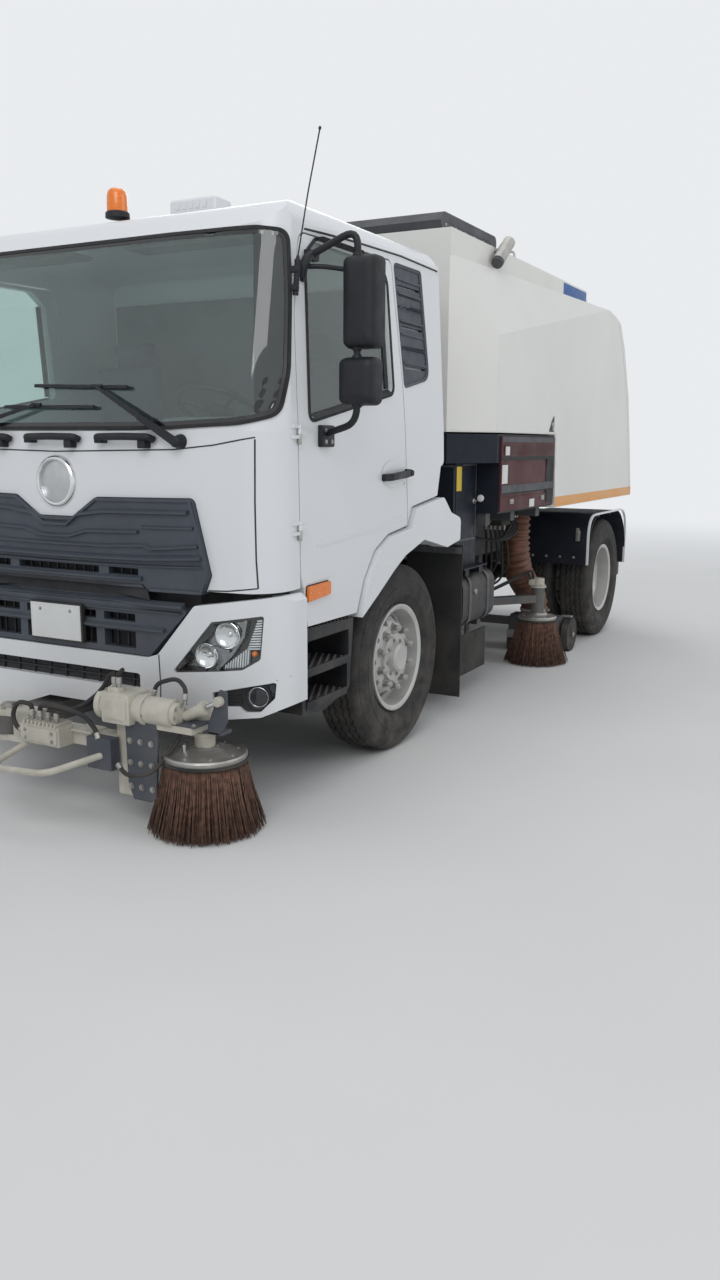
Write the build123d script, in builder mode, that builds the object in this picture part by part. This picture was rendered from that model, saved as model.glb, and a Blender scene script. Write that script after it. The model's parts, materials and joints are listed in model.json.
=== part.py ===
"""A street sweeper truck: cab-over lorry chassis, tipping debris hopper, side suction nozzles and brushes,
and a front brush boom. Millimetres, +X to the truck's left, the front faces -Y, +Z up.

Stations along Y are measured from the front axle, rearward positive. Each finished piece is moved by
front_axle_y on its way out, so that the origin lies on the ground at the middle of the whole machine.
"""

from build123d import *
import os
from math import atan2, cos, hypot, sin

os.makedirs("parts", exist_ok=True)

# Reach of the whole machine from the front axle; what stands behind the cab's bay is measured from the rear axle
wheelbase = 4060
front_reach = 2000
rear_overhang = 840
rear_reach = wheelbase + rear_overhang
front_axle_y = (front_reach - rear_reach) / 2

# Running gear
tyre_diameter = 1045
tyre_width = 290
tyre_bead_radius = 285
front_wheel_face = 1165
rear_wheel_face = 1230
dual_spacing = 335
axle_z = tyre_diameter / 2
kingpin_x = 850
kingpin_radius = 22
spindle_radius = 35
rear_spindle_radius = 45
running_gap = 0.05
seat_gap = 0.3

# Ladder frame
rail_outer = 430
rail_flange = 80
rail_web = 8
rail_bottom = 780
rail_top = 1030
rail_front_y = -1190
rail_rear_y = wheelbase + 640
crossmember_depth = 80
crossmember_bottom = 800
crossmember_top = 1010
crossmember_stations = (1350, 2000, wheelbase - 1300, wheelbase - 400, wheelbase + 500)
front_crossmember_y = -1150
spring_x = 395
spring_width = 80
spring_eye_radius = 28

# Sweeper subframe and the tipping hinge
subframe_top = 1180
subframe_front_y = 760
hinge_y = wheelbase + 490
hinge_z = 1200
hinge_pin_radius = 20
hinge_lug_radius = 30
subframe_rear_y = hinge_y + hinge_lug_radius + 10

# Cab
cab_half_width = 1200
cab_front_y = -1412
cab_rear_y = 434
cab_top = 2790
cab_floor_z = 1200
cab_floor_thickness = 40
cab_wall = 60
screen_foot_z = 1750
screen_lean = 0.158
door_gap = 8
door_hinge = (1210, -1164)
door_hinge_heights = (1300, 1720)
door_pin_radius = 6
glass_thickness = 6
glass_inset = 22
screen_inset = 8

# Hopper
hopper_half_width = 1250
hopper_front_half = 1070
hopper_front_y = 760
hopper_bevel_y = 1150
hopper_wall = 40
hopper_high_floor = 1775
hopper_low_floor = 1240
hopper_step_y = wheelbase - 1680
hopper_roof = 2800
deck_half_width = 1075
deck_height = 150
deck_top = hopper_roof + deck_height
deck_rear_y = wheelbase - 360
tail_thickness = 60
tail_gap = 8
tail_hinge = (wheelbase - 40, hopper_roof)

# Front brush boom
boom_pivot = (-150, -1640)
boom_z = 375
boom_hinge_x = 0
brush_centre = (925, -1516)
brush_disc_z = 350
brush_disc_radius = 187
brush_foot_radius = 270
brush_clear = 4

# Side suction and brush units
side_brush_centre = (1080, wheelbase - 1440)
side_brush_pivot = (700, wheelbase - 1910)
side_brush_disc_z = 370
side_brush_disc_radius = 150
side_brush_foot_radius = 260
hose_radius = 110
hose_top = (900, wheelbase - 1500)
nozzle_wheel_radius = 138
nozzle_y = wheelbase - 950
nozzle_wheel_y = nozzle_y + 70

# Tipping rams
ram_x = 250
ram_foot = (wheelbase - 560, 900)
ram_eye = (wheelbase - 1580, 1180)
ram_radius = 60
ram_rod_radius = 40
ram_pin_radius = 18
ram_lug_inner = 46
ram_lug_outer = 57


def outline(plane, corners):
    """A closed outline on a plane; each corner is (u, v) or (u, v, radius)."""
    with BuildSketch(plane) as shape:
        with BuildLine():
            FilletPolyline(
                *[corner[:2] for corner in corners],
                radius=[corner[2] if len(corner) > 2 else 0 for corner in corners],
                close=True,
            )
        make_face()
    return shape.sketch


def across(corners, x0, x1, mode=Mode.ADD):
    """A side outline of (y, z) corners, extruded from x0 to x1."""
    extrude(outline(Plane.YZ.offset(x0), corners), amount=x1 - x0, mode=mode)


def along(corners, y0, y1, mode=Mode.ADD):
    """A front outline of (x, z) corners, extruded from y0 to y1."""
    extrude(outline(Plane.XZ.offset(-y1), corners), amount=y1 - y0, mode=mode)


def upright(corners, z0, z1, mode=Mode.ADD):
    """A plan outline of (x, y) corners, extruded from z0 to z1."""
    extrude(outline(Plane.XY.offset(z0), corners), amount=z1 - z0, mode=mode)


def block(x, y, z, mode=Mode.ADD):
    """A box between two values on each axis."""
    along([(x[0], z[0]), (x[1], z[0]), (x[1], z[1]), (x[0], z[1])], y[0], y[1], mode)


def rod(start, end, radius, mode=Mode.ADD):
    """A round bar from one point to another."""
    reach = Vector(*end) - Vector(*start)
    with BuildSketch(Plane(origin=start, z_dir=reach)) as section:
        Circle(radius)
    extrude(section.sketch, amount=reach.length, mode=mode)


def mirrored(corners):
    """An outline that is given for the left half, closed with its mirror image."""
    return list(corners) + [(-corner[0], *corner[1:]) for corner in reversed(corners)]


def keep(piece, name):
    """Labels a finished piece, moves it into the machine's own frame and writes it."""
    finished = piece.part.moved(Location((0, front_axle_y, 0)))
    finished.label = name
    export_step(finished, f"parts/{name}.step")


def keep_pair(piece, name):
    """Writes a left-hand piece and its mirror image on the right."""
    keep(piece, name + "_left")
    with BuildPart() as right:
        mirror(piece.part, about=Plane.YZ)
    keep(right, name + "_right")


# Ladder frame rails, pressed channels that open inwards
with BuildPart() as frame_rails:
    inner = rail_outer - rail_flange
    along(
        [
            (rail_outer, rail_bottom),
            (rail_outer, rail_top),
            (inner, rail_top),
            (inner, rail_top - rail_web),
            (rail_outer - rail_web, rail_top - rail_web),
            (rail_outer - rail_web, rail_bottom + rail_web),
            (inner, rail_bottom + rail_web),
            (inner, rail_bottom),
        ],
        rail_front_y,
        rail_rear_y,
    )
    mirror(about=Plane.YZ)
keep(frame_rails, "frame_rails")

# Crossmembers, channels between the rails' webs
def crossmember(station):
    """One channel across the frame."""
    half = crossmember_depth / 2
    across(
        [
            (station - half, crossmember_bottom),
            (station + half, crossmember_bottom),
            (station + half, crossmember_bottom + rail_web),
            (station - half + rail_web, crossmember_bottom + rail_web),
            (station - half + rail_web, crossmember_top - rail_web),
            (station + half, crossmember_top - rail_web),
            (station + half, crossmember_top),
            (station - half, crossmember_top),
        ],
        rail_web - rail_outer,
        rail_outer - rail_web,
    )


def cab_mount(side, y):
    """A block on the rail that the cab stands on."""
    x0, x1 = sorted((side * (rail_outer - rail_flange), side * rail_outer))
    block((x0, x1), (y - 50, y + 50), (rail_top, cab_floor_z))


lug_face = crossmember_stations[3] - crossmember_depth / 2
with BuildPart() as crossmembers:
    for station in crossmember_stations:
        crossmember(station)
    for side in (-1, 1):
        cab_mount(side, 300)
        # lugs and pins that hold the feet of the tipping rams
        for inner, outer in ((-ram_lug_outer, -ram_lug_inner), (ram_lug_inner, ram_lug_outer)):
            across(
                [(lug_face, 850), (lug_face, 950), (ram_foot[0] - 35, ram_foot[1] + 35, 34), (ram_foot[0] - 35, ram_foot[1] - 35, 34)],
                side * ram_x + inner,
                side * ram_x + outer,
            )
        rod((side * ram_x - ram_lug_outer, *ram_foot), (side * ram_x + ram_lug_outer, *ram_foot), ram_pin_radius)
keep(crossmembers, "crossmembers")

# Front crossmember with the bumper's brackets, and the tongue that is bored for the front boom
tongue_half = 80
with BuildPart() as front_tongue:
    crossmember(front_crossmember_y)
    for side in (-1, 1):
        cab_mount(side, -1080)
        x0, x1 = sorted((side * 360, side * 420))
        across(
            [(-1372.7, 570), (-1150, 570), (-1150, rail_bottom), (-1200, rail_bottom), (-1200, 715), (-1372.7, 715)],
            x0,
            x1,
        )
    x0, x1 = boom_pivot[0] - tongue_half, boom_pivot[0] + tongue_half
    block((x0, x1), (boom_pivot[1], -1110), (330, 420))
    block((x0, x1), (boom_pivot[1] + tongue_half, -1110), (326, 420))
    block((x0, x1), (-1190, -1110), (326, crossmember_bottom))
    rod((*boom_pivot, 330), (*boom_pivot, 420), tongue_half)
    rod((*boom_pivot, 320), (*boom_pivot, 430), 25 + running_gap, Mode.SUBTRACT)
keep(front_tongue, "front_tongue")

# Engine and gearbox as one plain mass, the prop shaft, the radiator, and the sweeper's own engine
enclosure_bottom = 1260
engine_front_y = -850
engine_rear_y = 450
gearbox_rear_y = 1150
output_z = 730
pinion_y = wheelbase - 290
pinion_z = axle_z + 30
prop_radius = 45
web_inner = rail_outer - rail_web
with BuildPart() as powertrain:
    across(
        [
            (engine_front_y, 640, 40),
            (engine_rear_y, 640, 40),
            (engine_rear_y, 1270, 60),
            (engine_front_y, 1270, 60),
        ],
        -280,
        280,
    )
    across(
        [(engine_rear_y - 20, 600), (gearbox_rear_y, 660), (gearbox_rear_y, 900, 60), (engine_rear_y - 20, 990)],
        -170,
        170,
    )
    for y in (-560, 180):
        block((-web_inner, web_inner), (y - 50, y + 50), (850, 900))
    rod((0, gearbox_rear_y, output_z), (0, pinion_y - 25, pinion_z), prop_radius)
    rod((0, pinion_y - 30, pinion_z), (0, pinion_y, pinion_z), 60)
    block((-290, 290), (-1090, -1010), (700, 1290))
    block((-web_inner, web_inner), (-1080, -1020), (860, 900))
    # the auxiliary engine inside the enclosure, on the subframe's cross beams
    block((-620, 620), (1500, hopper_step_y - 100), (enclosure_bottom, 1680))
keep(powertrain, "powertrain")

# Front axle beam with an eye at each end, pocketed to an I-section
beam_half = 45
eye_height = 130
eye_radius = 48
pad_top = 505
with BuildPart() as front_axle:
    along(
        mirrored([(520, 380, 60), (815, 470), (815, 575), (500, 490, 60)]),
        -beam_half,
        beam_half,
    )
    for y in (-beam_half, beam_half):
        along(
            mirrored([(510, 400, 40), (700, 462, 20), (690, 520, 20), (490, 470, 40)]),
            y - 28,
            y + 28,
            Mode.SUBTRACT,
        )
    for side in (-1, 1):
        rod(
            (side * kingpin_x, 0, axle_z - eye_height / 2),
            (side * kingpin_x, 0, axle_z + eye_height / 2),
            eye_radius,
        )
        x = sorted((side * (spring_x - 45), side * (spring_x + 45)))
        block(x, (-110, 110), (470, pad_top))
    for side in (-1, 1):
        rod(
            (side * kingpin_x, 0, axle_z - eye_height),
            (side * kingpin_x, 0, axle_z + eye_height),
            kingpin_radius + running_gap,
            Mode.SUBTRACT,
        )
keep(front_axle, "front_axle")

# Rear axle: banjo housing, tapering tubes, pinion nose and stub ends for the hubs
rear_pad_top = 600
rear_tube_radius = 65
banjo_radius = 205
rear_tube_end = 610
rear_spindle_end = 1040
with BuildPart() as rear_axle:
    rod((-rear_tube_end, wheelbase, axle_z), (rear_tube_end, wheelbase, axle_z), rear_tube_radius)
    rod((-rear_spindle_end, wheelbase, axle_z), (rear_spindle_end, wheelbase, axle_z), rear_spindle_radius)
    with Locations((0, wheelbase, axle_z)):
        Sphere(banjo_radius)
    rod((0, wheelbase - 150, pinion_z), (0, pinion_y, pinion_z), 80)
    for side in (-1, 1):
        x = sorted((side * (spring_x - 45), side * (spring_x + 45)))
        block(x, (wheelbase - 120, wheelbase + 120), (axle_z, rear_pad_top))
keep(rear_axle, "rear_axle")

# Leaf springs with their eyes and the hangers below the rails
# columns: axle station, half span, seat height, pack thickness, eye height
spring_table = (
    (0, 735, pad_top, 60, 640),
    (wheelbase, 590, rear_pad_top, 100, 715),
)
with BuildPart() as leaf_springs:
    for station, span, seat, pack, eye_z in spring_table:
        with BuildSketch(Plane.YZ.offset(spring_x - spring_width / 2)) as leaf:
            with BuildLine():
                low = ThreePointArc(
                    (station - span, eye_z - spring_eye_radius), (station, seat), (station + span, eye_z - spring_eye_radius)
                )
                high = ThreePointArc(
                    (station - span, eye_z - spring_eye_radius + 14),
                    (station, seat + pack),
                    (station + span, eye_z - spring_eye_radius + 14),
                )
                Line(low @ 0, high @ 0)
                Line(low @ 1, high @ 1)
            make_face()
            with Locations((station - span, eye_z), (station + span, eye_z)):
                Circle(spring_eye_radius)
        extrude(leaf.sketch, amount=spring_width)
        for y in (station - span, station + span):
            across(
                [(y - 45, rail_bottom), (y - 20, eye_z), (y + 20, eye_z), (y + 45, rail_bottom)],
                spring_x - spring_width / 2,
                spring_x + spring_width / 2,
            )
    mirror(about=Plane.YZ)
keep(leaf_springs, "leaf_springs")


# Wheels. Profiles are (inset from the tyre's outer face, radius), revolved about the axle line.
def wheel_plane(face_x, y):
    """The section plane of a wheel on the left: local x runs inboard from its outer face."""
    return Plane(origin=(face_x, y, axle_z), x_dir=(-1, 0, 0), z_dir=(0, 1, 0))


def spin(corners, face_x, y, mode=Mode.ADD):
    """A wheel profile revolved about its axle."""
    revolve(
        outline(wheel_plane(face_x, y), corners),
        axis=Axis((face_x, y, axle_z), (1, 0, 0)),
        mode=mode,
    )


def tyre(face_x, y):
    """A tyre: flat tread, sloped shoulders, bulging walls and square beads."""
    crown = tyre_diameter / 2
    wall = [(48, tyre_bead_radius), (48, tyre_bead_radius + 18), (10, 335), (0, 410), (20, 490), (52, crown)]
    spin(wall + [(tyre_width - inset, radius) for inset, radius in reversed(wall)], face_x, y)


def rim_barrel(face_x, y):
    """The barrel with a flange at each edge."""
    seat = tyre_bead_radius - seat_gap
    spin(
        [
            (30, seat + 16), (44, seat + 16), (46, seat), (244, seat), (246, seat + 16), (260, seat + 16), (260, seat + 5),
            (252, seat - 12), (38, seat - 12), (30, seat + 5),
        ],
        face_x,
        y,
    )


stud_count = 10
stud_circle = 167.5
hand_hole_circle = 214


def ring_of_rods(x0, x1, y, circle, radius, turn, mode=Mode.ADD):
    """A ring of round bars between two stations on the axle."""
    with BuildSketch(Plane(origin=(x0, y, axle_z), x_dir=(0, 1, 0), z_dir=(1, 0, 0))) as ring:
        with PolarLocations(circle, stud_count, start_angle=turn):
            Circle(radius)
    extrude(ring.sketch, amount=x1 - x0, mode=mode)


with BuildPart() as front_tyre:
    tyre(front_wheel_face, 0)
keep_pair(front_tyre, "front_tyre")

front_bore_end = 62
with BuildPart() as front_rim:
    rim_barrel(front_wheel_face, 0)
    spin(
        [
            (132, 276), (118, 240), (80, 206), (66, 190), (66, 130), (84, 130), (84, 184), (94, 194), (134, 230), (152, 276),
        ],
        front_wheel_face,
        0,
    )
    ring_of_rods(front_wheel_face - 160, front_wheel_face - 60, 0, hand_hole_circle, 22, 0, Mode.SUBTRACT)
    spin([(48, 0), (48, 135), (172, 150), (172, 205), (264, 205), (264, 190), (188, 190), (188, 120), (240, 90), (240, 0)],
         front_wheel_face, 0)
    spin([(8, 0), (8, 66), (20, 78), (50, 84), (50, 0)], front_wheel_face, 0)
    ring_of_rods(front_wheel_face - 70, front_wheel_face - 22, 0, stud_circle, 15, 18)
    rod(
        (front_wheel_face - 300, 0, axle_z),
        (front_wheel_face - front_bore_end, 0, axle_z),
        spindle_radius + running_gap,
        Mode.SUBTRACT,
    )
keep_pair(front_rim, "front_rim")

with BuildPart() as rear_tyres:
    for face_x in (rear_wheel_face, rear_wheel_face - dual_spacing):
        tyre(face_x, wheelbase)
keep_pair(rear_tyres, "rear_tyres")

dual_plane = (dual_spacing + tyre_width) / 2
rear_disc = [
    (140, 276), (176, 230), (286, 206), (298, 190), (298, 130), (dual_plane + 1, 130), (dual_plane + 1, 200), (292, 220),
    (186, 246), (166, 276),
]
with BuildPart() as rear_rims:
    for face_x in (rear_wheel_face, rear_wheel_face - dual_spacing):
        rim_barrel(face_x, wheelbase)
    spin(rear_disc, rear_wheel_face, wheelbase)
    spin([(2 * dual_plane - u, v) for u, v in rear_disc], rear_wheel_face, wheelbase)
    ring_of_rods(rear_wheel_face - 400, rear_wheel_face - 230, wheelbase, hand_hole_circle, 20, 0, Mode.SUBTRACT)
    spin([(150, 0), (150, 92), (168, 104), (200, 104), (200, 132), (420, 132), (420, 205), (590, 205), (590, 190),
          (440, 190), (440, 110), (520, 95), (520, 0)], rear_wheel_face, wheelbase)
    ring_of_rods(rear_wheel_face - 302, rear_wheel_face - 250, wheelbase, stud_circle, 15, 18)
    rod(
        (rear_wheel_face - 640, wheelbase, axle_z),
        (rear_spindle_end + 6, wheelbase, axle_z),
        rear_spindle_radius + running_gap,
        Mode.SUBTRACT,
    )
keep_pair(rear_rims, "rear_rims")

# Steering knuckle: a fork round the axle eye, kingpin, stub spindle and the track arm
arm_end = (kingpin_x, 165)
arm_z = axle_z - 120
track_pin_radius = 10
with BuildPart() as knuckle:
    for low, high in ((eye_height / 2 + seat_gap, 105), (-105, -eye_height / 2 - seat_gap)):
        rod((kingpin_x, 0, axle_z + low), (kingpin_x, 0, axle_z + high), 42)
        block((kingpin_x, 912), (-36, 36), (axle_z + low, axle_z + high))
    rod((kingpin_x, 0, axle_z - 105), (kingpin_x, 0, axle_z + 105), kingpin_radius)
    rod((905, 0, axle_z), (922, 0, axle_z), 120)
    rod((915, 0, axle_z), (front_wheel_face - front_bore_end - 6, 0, axle_z), spindle_radius)
    upright(
        [(kingpin_x - 30, -20), (kingpin_x + 30, -20), (kingpin_x + 24, 60), (arm_end[0] + 24, arm_end[1] + 20, 20),
         (arm_end[0] - 24, arm_end[1] + 20, 20)],
        arm_z,
        arm_z + 24,
    )
    rod((*arm_end, arm_z - 1), (*arm_end, arm_z + 25), track_pin_radius + running_gap, Mode.SUBTRACT)
keep_pair(knuckle, "knuckle")

# Tie rod between the two track arms, with a pin up through each
tie_rod_z = arm_z - seat_gap - 16
with BuildPart() as tie_rod:
    rod((-arm_end[0], arm_end[1], tie_rod_z), (arm_end[0], arm_end[1], tie_rod_z), 15)
    for side in (-1, 1):
        rod((side * arm_end[0], arm_end[1], tie_rod_z - 16), (side * arm_end[0], arm_end[1], arm_z - seat_gap), 24)
        rod((side * arm_end[0], arm_end[1], tie_rod_z), (side * arm_end[0], arm_end[1], arm_z + 26), track_pin_radius)
keep(tie_rod, "tie_rod")

# Tanks beside the frame on L brackets: left and right
tank_inner = 720
tank_outer = 1150
tank_bottom = 540
tank_top = 880
# columns: side, front and rear station
tank_table = ((1, 900, 1450), (-1, 900, side_brush_pivot[1] - 400))
with BuildPart() as side_tanks:
    for side, y0, y1 in tank_table:
        corners = [
            (side * tank_inner, tank_bottom, 90), (side * tank_outer, tank_bottom, 90),
            (side * tank_outer, tank_top, 90), (side * tank_inner, tank_top, 90),
        ]
        along(corners, y0, y1)
        for y in (y0 + 90, y1 - 150):
            along(
                [
                    (side * rail_outer, tank_bottom - 35), (side * (tank_outer - 60), tank_bottom - 35),
                    (side * (tank_outer - 60), tank_bottom), (side * (rail_outer + 40), tank_bottom),
                    (side * (rail_outer + 40), tank_top), (side * rail_outer, tank_top),
                ],
                y,
                y + 60,
            )
keep(side_tanks, "side_tanks")

# Subframe: two long members on the chassis rails, cross beams for the enclosure, and hinge lugs
enclosure_top = hopper_high_floor - 10
cross_beam_stations = (1225, 1700, hopper_step_y - 140)
cross_beam_width = 80
lug_plates = ((rail_outer - 72, rail_outer - 54), (rail_outer - 34, rail_outer - 16))
with BuildPart() as sweeper_subframe:
    inner = rail_outer - rail_flange
    block((inner, rail_outer), (subframe_front_y, subframe_rear_y), (rail_top, subframe_top - 90))
    block((inner, rail_outer), (subframe_front_y, hinge_y - 90), (rail_top, subframe_top))
    for x0, x1 in lug_plates:
        across(
            [
                (hinge_y - 95, subframe_top - 95), (hinge_y + hinge_lug_radius, subframe_top - 95),
                (hinge_y + hinge_lug_radius, hinge_z + hinge_lug_radius, 29), (hinge_y - hinge_lug_radius, hinge_z + hinge_lug_radius, 29),
                (hinge_y - 95, subframe_top - 20),
            ],
            x0,
            x1,
        )
    rod((lug_plates[0][0], hinge_y, hinge_z), (lug_plates[1][1], hinge_y, hinge_z), hinge_pin_radius)
    mirror(about=Plane.YZ)
    for y in cross_beam_stations:
        block((-1160, 1160), (y, y + cross_beam_width), (subframe_top, enclosure_bottom))
keep(sweeper_subframe, "sweeper_subframe")


def hopper_plan(front_y, rear_y, inset=0):
    """Plan corners of the hopper and the enclosure below it, with the bevelled front corners."""
    half = hopper_half_width - inset
    nose = hopper_front_half - inset * 0.6
    front = front_y + inset
    bevel = hopper_bevel_y + front_y - hopper_front_y + inset * 0.5
    return mirrored([(nose, front), (half, bevel), (half, rear_y)])


# Engine enclosure below the front of the hopper, open below
skin = 30
with BuildPart() as engine_enclosure:
    upright(hopper_plan(hopper_front_y + 10, hopper_step_y - 50), 1585, enclosure_top)
    upright(mirrored([(hopper_half_width, 1205), (hopper_half_width, hopper_step_y - 50)]), enclosure_bottom, 1600)
    block((-1190, 1190), (1240, hopper_step_y - 80), (enclosure_bottom - 1, 1735), Mode.SUBTRACT)
    block((-1000, 1000), (820, 1300), (1500, 1735), Mode.SUBTRACT)
keep(engine_enclosure, "engine_enclosure")

# Side panels of the enclosure: a deep frame with a recessed field and a raised strip
with BuildPart() as access_panels:
    face = hopper_half_width
    block((face, face + 12), (1215, hopper_step_y - 60), (enclosure_bottom + 12, enclosure_top - 12))
    block((face + 5, face + 20), (1245, hopper_step_y - 90), (1360, 1600), Mode.SUBTRACT)
    mirror(about=Plane.YZ)
keep(access_panels, "access_panels")

# Cabinets in front of the enclosure on outrigger brackets with a step plate
with BuildPart() as front_cabinets:
    block((800, 1105), (850, 1195), (935, 1585 - seat_gap))
    block((770, 1180), (830, 1225), (925, 935))
    for y in (880, 1110):
        block((rail_outer, 1170), (y, y + 60), (885, 925))
    mirror(about=Plane.YZ)
keep(front_cabinets, "front_cabinets")

# Rear mudguards over the twin wheels, on two tubes each
guard_inner = 612
guard_outer = 1242
guard_sheet = 8
guard_top = 1120
guard_front = wheelbase - 640
guard_rear = wheelbase + 640
guard_corners = [(guard_front, 700), (guard_front, guard_top, 330), (guard_rear, guard_top, 420), (guard_rear, 600)]
guard_inside = [(guard_front + guard_sheet, 690), (guard_front + guard_sheet, guard_top - guard_sheet, 322),
                (guard_rear - guard_sheet, guard_top - guard_sheet, 412), (guard_rear - guard_sheet, 590)]
with BuildPart() as rear_mudguards:
    across(guard_corners, guard_inner, guard_outer)
    across(guard_inside, guard_inner - 1, guard_outer + 1, Mode.SUBTRACT)
    for y in (wheelbase - 200, wheelbase + 180):
        rod((rail_outer, y, guard_top - 25), (guard_outer - 40, y, guard_top - 25), 18)
    mirror(about=Plane.YZ)
keep(rear_mudguards, "rear_mudguards")

# Rear underrun bar on two hangers, with the lamp clusters on its face
bar_bottom = 460
bar_top = 600
bar_front_y = rear_reach - 120
bar_rear_y = rear_reach - 20
hanger_face = crossmember_stations[4] + crossmember_depth / 2
with BuildPart() as rear_underrun:
    across(
        [(bar_front_y, bar_bottom, 20), (bar_rear_y, bar_bottom, 20), (bar_rear_y, bar_top, 20), (bar_front_y, bar_top, 20)],
        -1150,
        1150,
    )
    for side in (-1, 1):
        x0, x1 = sorted((side * 200, side * 215))
        across(
            [
                (hanger_face, crossmember_bottom), (hanger_face, crossmember_top), (hanger_face + 50, crossmember_top),
                (bar_front_y + 60, bar_top + 20), (bar_front_y + 60, bar_bottom + 20), (bar_front_y - 10, bar_bottom + 20),
                (bar_front_y - 10, bar_top),
            ],
            x0,
            x1,
        )
        x0, x1 = sorted((side * 760, side * 1090))
        block((x0, x1), (bar_rear_y, rear_reach), (bar_bottom + 25, bar_top - 25))
keep(rear_underrun, "rear_underrun")

# Cab. Its closed form is one side outline, one leaning plan and one front outline, met together.
cab_side = [
    (-1412, 1050), (-1412, 1500, 400), (-1392, screen_foot_z), (-1258, 2600, 60), (-1140, 2712, 220), (-830, cab_top, 500),
    (150, cab_top, 300), (340, 2740, 90), (370, 2600, 200), (434, 1590, 30), (392, 1576, 10), (350, 1412, 10), (10, 1366, 10),
    (-42, 1264), (-275, 1238, 100), (-427, 1167, 80), (-543, 1027, 60), (-613, 871), (-1084, 873), (-1120, 1060),
]
cab_plan = mirrored([(700, -1412, 900), (1200, -1365, 180), (1200, 900)])
cab_front = mirrored([(1200, 800), (1200, 1800, 900), (1172, 2650, 80), (1122, 2730, 130), (900, 2778, 400), (300, 2800, 900)])


def grown(corners, amount):
    """An outline's corners on a flat sketch, grown by an amount."""
    with BuildSketch() as shape:
        add(outline(Plane.XY, corners))
        if amount:
            offset(amount=amount, kind=Kind.INTERSECTION)
    return shape.sketch


def cab_prism(inset):
    """The cab's plan drawn in by an inset: upright up to the screen's foot, leaning back above it."""
    with BuildPart(mode=Mode.PRIVATE) as prism:
        for z0, z1, lean in ((700, screen_foot_z, 0), (screen_foot_z, 2900, screen_lean)):
            extrude(Plane.XY.offset(z0) * grown(cab_plan, -inset), amount=(z1 - z0) * hypot(1, lean), dir=(0, lean, 1))
    return prism.part


def cab_form(inset):
    """The cab's closed form, drawn in by an inset on every side."""
    with BuildPart(mode=Mode.PRIVATE) as form:
        extrude(Plane.YZ.offset(-1300) * grown(cab_side, -inset), amount=2600)
        extrude(Plane.XZ.offset(-1000) * grown(cab_front, -inset), amount=2600, mode=Mode.INTERSECT)
        add(cab_prism(inset), mode=Mode.INTERSECT)
    return form.part


cab_skin = cab_form(0)
cab_cavity = cab_form(cab_wall)

door_line = [
    (-1157, 1753), (-1160, 2241, 200), (-1105, 2585, 60), (-225, 2600, 40), (-110, 1993, 200), (-45, 1352), (-42, 1268, 20),
    (-275, 1238, 100), (-427, 1167, 80), (-543, 1027, 60), (-613, 871), (-1084, 873), (-1141, 1120),
]
window_line = [(-1053, 1808, 30), (-1050, 2500, 70), (-960, 2573, 60), (-390, 2575, 60), (-285, 2500, 80), (-228, 1963, 40)]
louvre_line = [(-190, 2598, 25), (125, 2598, 25), (219, 2050, 70), (-84, 1990, 25)]
screen_line = mirrored([(450, 1752, 1200), (900, 1768, 900), (1158, 1840, 80), (1120, 2560, 70), (1000, 2592, 300)])
grille_outline = mirrored(
    [(531, 1046), (570, 1031, 10), (857, 1036, 15), (891, 1123, 20), (810, 1458, 30), (254, 1449, 40), (110, 1354, 40)]
)


def side_cut(corners, grow, x0, x1, mode=Mode.SUBTRACT):
    """A side outline, grown, through the left side between x0 and x1."""
    extrude(Plane.YZ.offset(x0) * grown(corners, grow), amount=x1 - x0, mode=mode)


def front_cut(corners, grow, y0, y1, mode=Mode.SUBTRACT):
    """A front outline, grown, between y0 and y1."""
    extrude(Plane.XZ.offset(-y1) * grown(corners, grow), amount=y1 - y0, mode=mode)


tunnel_half = 340
tunnel_top = 1360
with BuildPart() as cab_hollow:
    add(cab_cavity)
    block((-1300, 1300), (-1500, 600), (800, cab_floor_z + cab_floor_thickness), Mode.SUBTRACT)
    block((-tunnel_half, tunnel_half), (-1500, 600), (1000, tunnel_top), Mode.SUBTRACT)

with BuildPart() as louvre_recess:
    side_cut(louvre_line, 0, 1050, 1300, Mode.ADD)
    add(cab_form(28), mode=Mode.SUBTRACT)
    mirror(about=Plane.YZ)

with BuildPart() as cab_shell:
    add(cab_skin)
    add(cab_hollow.part, mode=Mode.SUBTRACT)
    block((-1140, 1140), (-1240, 374), (700, cab_floor_z), Mode.SUBTRACT)
    block((-1040, 1040), (-1352, -1230), (700, cab_floor_z), Mode.SUBTRACT)
    block((40 - tunnel_half, tunnel_half - 40), (-1352, 500), (700, tunnel_top - 40), Mode.SUBTRACT)
    for side in (-1, 1):
        x0, x1 = sorted((side * 1080, side * 1300))
        side_cut(door_line, door_gap, x0, x1)
        block((x0, x1), (-1150, 0), (800, cab_floor_z + 5), Mode.SUBTRACT)
    add(louvre_recess.part, mode=Mode.SUBTRACT)
    front_cut(screen_line, 0, -1500, -1150)
    front_cut(grille_outline, 3, -1500, -1385)
    front_cut(grille_outline, seat_gap, -1390, -1340)
    # the doors' hinge lugs and pins on the front pillars
    for side in (-1, 1):
        hx, hy = side * door_hinge[0], door_hinge[1]
        for z in door_hinge_heights:
            for z0, z1 in ((z, z + 15), (z + 45, z + 60)):
                x0, x1 = sorted((side * 1196, side * 1214))
                block((x0, x1), (-1215, hy), (z0, z1))
                rod((hx, hy, z0), (hx, hy, z1), 9)
            rod((hx, hy, z), (hx, hy, z + 60), door_pin_radius)
keep(cab_shell, "cab_shell")

with BuildPart() as windscreen:
    add(cab_form(screen_inset))
    add(cab_form(screen_inset + glass_thickness), mode=Mode.SUBTRACT)
    front_cut(screen_line, -0.5, -1500, -1150, Mode.INTERSECT)
keep(windscreen, "windscreen")

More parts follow.
